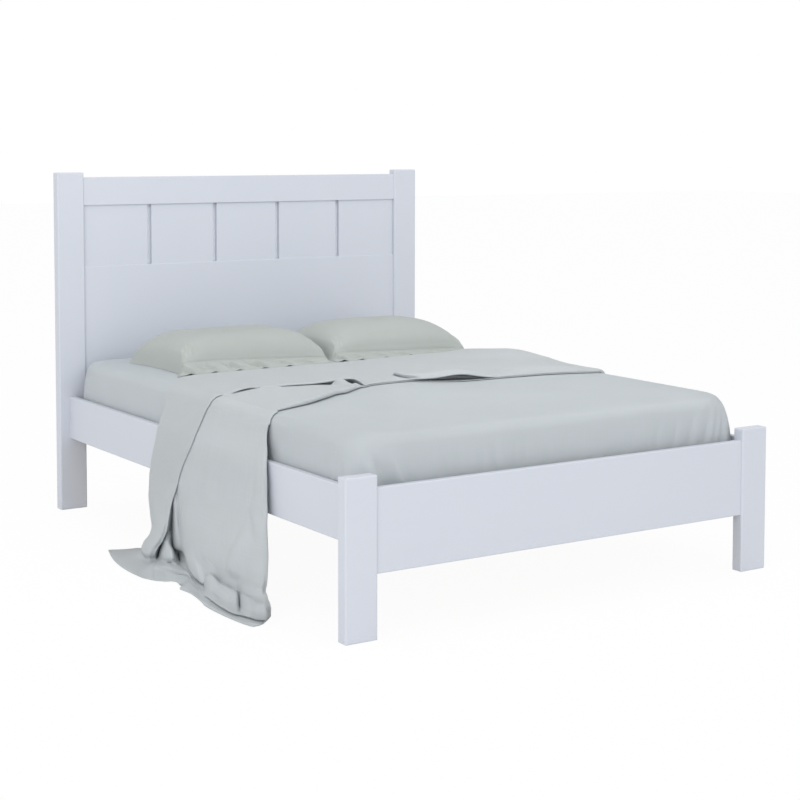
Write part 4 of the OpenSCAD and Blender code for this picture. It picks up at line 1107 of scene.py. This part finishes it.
def foot_panel(line, foot_shares):
    """The panel from under the lip to its rolled foot edge."""
    y = (line.lip - 3) * (1 - foot_shares) + (line.foot + line.foot_round) * foot_shares
    shown = 1 - line.hidden
    out, away = np.abs(y - line.foot), line.lip - 3 - y
    h = 3.4 + 2.6 * ease(away, 0, 12) * shown + (line.foot_high - 6.0) * np.exp(-(out / 34) ** 2) * shown
    # Where the lip lies close on it, no gap shows.
    close = 0
    for start, end, soft in close_spans:
        past_end = ease(line.flat_x, end - soft, end + soft)
        close = close + ease(line.flat_x, start - soft, start + soft) * (1 - past_end)
    on_bed = line.on_top * shown
    lifted = np.maximum(line.lip_high - 5.0, 0) * ease(away, 0, 5) * np.exp(-(away / 55) ** 2)
    h = h + on_bed * close * lifted
    h = h + on_bed * 7 * hump(line.flat_x, -244, 9) * hump(y, line.lip - 14, 14)
    h = h + shown * 0.9 * ripple(22, (y / 1000, 6.0), (line.x / 1000, 4.0)) * ease(away, 8, 60)
    crease = curve(crease_above, line.z)
    fold = 8 * hump(y, crease - 52, 40) - 3 * hump(y, crease, 16)
    fold = fold + 1.6 * ripple(32, (y / 1000, 8.0), (line.z / 1000, 1.0))
    h = h + line.hang * ease(line.drop, 0.15, 0.9) * fold
    return off_bed(line, y, np.maximum(h, 3.2))


def upper_throw(foot_shares):
    """The cloth on the bed and down its side, as groups of rows from one hem to the other."""
    line = throw_lines()
    head_hem = np.array([84, 66, 50, 36, 24, 14])
    foot_hem = np.array([16, 30, 46, 64, 84]) * np.where(line.hidden, 0.3, 1.0)
    head_round = 2.2
    head_y = line.head - head_round * (1 - np.cos(bends))
    head_z = 4.9 - head_round * np.sin(bends)
    lip_y = line.lip + line.lip_round * (1 - np.cos(bends))
    lip_z = line.lip_high - line.lip_round * (1 - np.sin(bends))
    foot_y = line.foot + line.foot_round * (1 - np.cos(bends))
    foot_z = np.maximum(line.foot_high - line.foot_round * (1 - np.sin(bends)), 2.8)
    return SimpleNamespace(
        head_hem=off_bed(line, line.head - head_hem, 2.7),
        head_edge=off_bed(line, head_y, head_z),
        head_panel=head_panel(line),
        lip=off_bed(line, lip_y, lip_z),
        fold=fold_rows(line),
        foot_panel=foot_panel(line, foot_shares),
        foot_edge=off_bed(line, foot_y, foot_z),
        foot_hem=off_bed(line, line.foot + foot_hem, 2.7))


def across(levels, at, marks):
    """Rows down the lower cloth, with points at shares of the way across each level, whose own have marks."""
    rows = np.array([through(marks, level, at) for level in levels])
    return np.stack([through(range(len(levels)), rows[:, place], down) for place in range(len(at))], 1)


def lower_throw(high, levels, foot_marks, foot_shares):
    """The hanging end of the cloth and its heap, which go on from the upper cloth's last station."""
    head_levels, fold_levels, foot_levels = levels
    ring = np.concatenate([head_levels[:, -1:], fold_levels, foot_levels[:, :1]], 1)
    head = across(head_levels, head_shares, shares(head_levels[0]))
    fold = across(ring, fold_shares, np.linspace(0, 1, ring.shape[1]))
    foot = across(foot_levels, foot_shares, foot_marks)
    near = 1 - ease(down, 0, 2.2)[:, None, None]
    head = head + (high.head_panel[-1] - head[0]) * near
    fold = fold + (high.fold[-1] - fold[0]) * (1 - ease(down, 0, 1.5)[:, None, None])
    foot = foot + (high.foot_panel[-1] - foot[0]) * near
    y, z = foot[..., 1], foot[..., 2]
    crease = curve(crease_line, z)
    creased = 15 * hump(y, crease - 62, 38) - 6 * hump(y, crease - 8, 14)
    foot[..., 0] -= ease(z, 60, 100) * creased * (1 - near[..., 0] * 0.9)
    heap = (ease(down, 5.4, 6.6) * (1 - ease(down, 9.4, 10.4)))[:, None] * ease(z, 8, 24)
    crumples = ripple(42, (y / 1000, 16.0), (z / 1000, 12.0))
    foot[..., 0] += heap * (1.5 + 2.5 * ease(-y, 540, 600)) * crumples

    def beside(edge, start, group, keep):
        """Rows that stay next to an edge on its way down, drawn in towards it."""
        kept = 1 - (1 - keep) * ease(down, 0, 4.5)[:, None, None]
        return edge[:, None] + (group[-1] - start) * kept

    head_start_point, lip_start_point = high.head_panel[-1, 0], high.head_panel[-1, -1]
    foot_start_point = high.foot_panel[-1, -1]
    return [beside(head[:, 0], head_start_point, high.head_hem, 0.05),
            beside(head[:, 0], head_start_point, high.head_edge, 0.3),
            head,
            beside(head[:, -1], lip_start_point, high.lip, 0.5),
            fold,
            foot,
            beside(foot[:, -1], foot_start_point, high.foot_edge, 0.5),
            beside(foot[:, -1], foot_start_point, high.foot_hem, 0.05)]


def make_throw():
    """The throw as one grid of rows: its upper cloth on the bed and its lower cloth down to the hem."""
    levels = lower_levels()
    foot_marks = shares(levels[2][0])
    foot_shares = finer(foot_marks, foot_steps)
    high = upper_throw(foot_shares)
    low = lower_throw(high, levels, foot_marks, foot_shares)
    groups = [np.concatenate([upper, lower[1:]]) for upper, lower in zip(vars(high).values(), low)]
    grid = np.concatenate(groups, 1)
    grid[..., 2] = np.maximum(grid[..., 2], throw_thick / 2 + 0.4)
    # Settling: neighbours are drawn together a little, most where the cloth heaps.
    pull = np.full(len(grid) - 2, 0.12)
    pull[len(high.lip):] = 0.25
    for _ in range(2):
        around = (grid[:-2, 1:-1] + grid[2:, 1:-1] + grid[1:-1, :-2] + grid[1:-1, 2:]) / 4
        grid[1:-1, 1:-1] += (around - grid[1:-1, 1:-1]) * pull[:, None, None]
    return cloth("throw_cloth", grid / 1000, throw_thick / 1000, "throw_cotton")


# Floor, lights and background.

world_light = 0.80
floor_shown = 0.95
floor_width = 60
white = (1, 1, 1, 1)
lamps = {
    "soft_light_above": dict(place=(-1.5, -1.0, 5.0), aim=(0, 0, 0.3), size=5.0, power=34.0),
    "soft_light_front_left": dict(place=(-7.0, -5.6, 3.2), aim=(0, 0, 0.4), size=5.0, power=186.0),
    "soft_light_front": dict(place=(0.8, -6.5, 2.0), aim=(0, 0, 0.45), size=4.0, power=38.0),
    "soft_light_head": dict(place=(0.0, -0.8, 2.1), aim=(0, 1.0, 0.65), size=1.6, power=6.3),
}


def add_floor():
    bpy.ops.mesh.primitive_plane_add(size=floor_width, location=(0, 0, 0))
    floor = bpy.context.object
    floor.name = "floor"
    finish = Finish("floor", 0.9, specular=0.0)
    finish.surface.inputs["Base Color"].default_value = srgb(246, 246, 247)
    bright = finish.node("ShaderNodeEmission", {}, Color=white, Strength=1.0)
    lit = Value(finish, finish.surface.outputs[0])
    finish.show(finish.node("ShaderNodeMixShader", {}, finish.seen_rays() * floor_shown, lit, bright))
    floor.data.materials.append(finish.material)


def add_world():
    world = bpy.data.worlds.new("studio")
    bpy.context.scene.world = world
    world.use_nodes = True
    air = Nodes(world.node_tree)
    background = air.tree.nodes["Background"]
    background.inputs["Color"].default_value = white
    air.link(air.seen_rays() * (1 - world_light) + world_light, background.inputs["Strength"])


def add_lamp(name, place, aim, size, power):
    light = bpy.data.lights.new(name, "AREA")
    light.shape = "DISK"
    light.size = size
    light.energy = power
    lamp = bpy.data.objects.new(name, light)
    lamp.location = place
    lamp.rotation_euler = (Vector(aim) - Vector(place)).to_track_quat("-Z", "Y").to_euler()
    lamp.visible_camera = False
    bpy.context.scene.collection.objects.link(lamp)


add_floor()
add_world()
for name, lamp in lamps.items():
    add_lamp(name, **lamp)


# The bed's soft pieces.

sheet = make_sheet()
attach(sheet, "mattress")
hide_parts("fitted_sheet")

mattress = make_mattress()
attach(mattress, "mattress")
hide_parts("mattress")

for side, shape in pillows.items():
    pillow = make_pillow(side, shape)
    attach(pillow, f"pillow_{side}")
    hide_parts(f"pillow_{side}_case", f"pillow_{side}_insert")

throw = make_throw()
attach(throw, "throw")
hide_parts("throw")
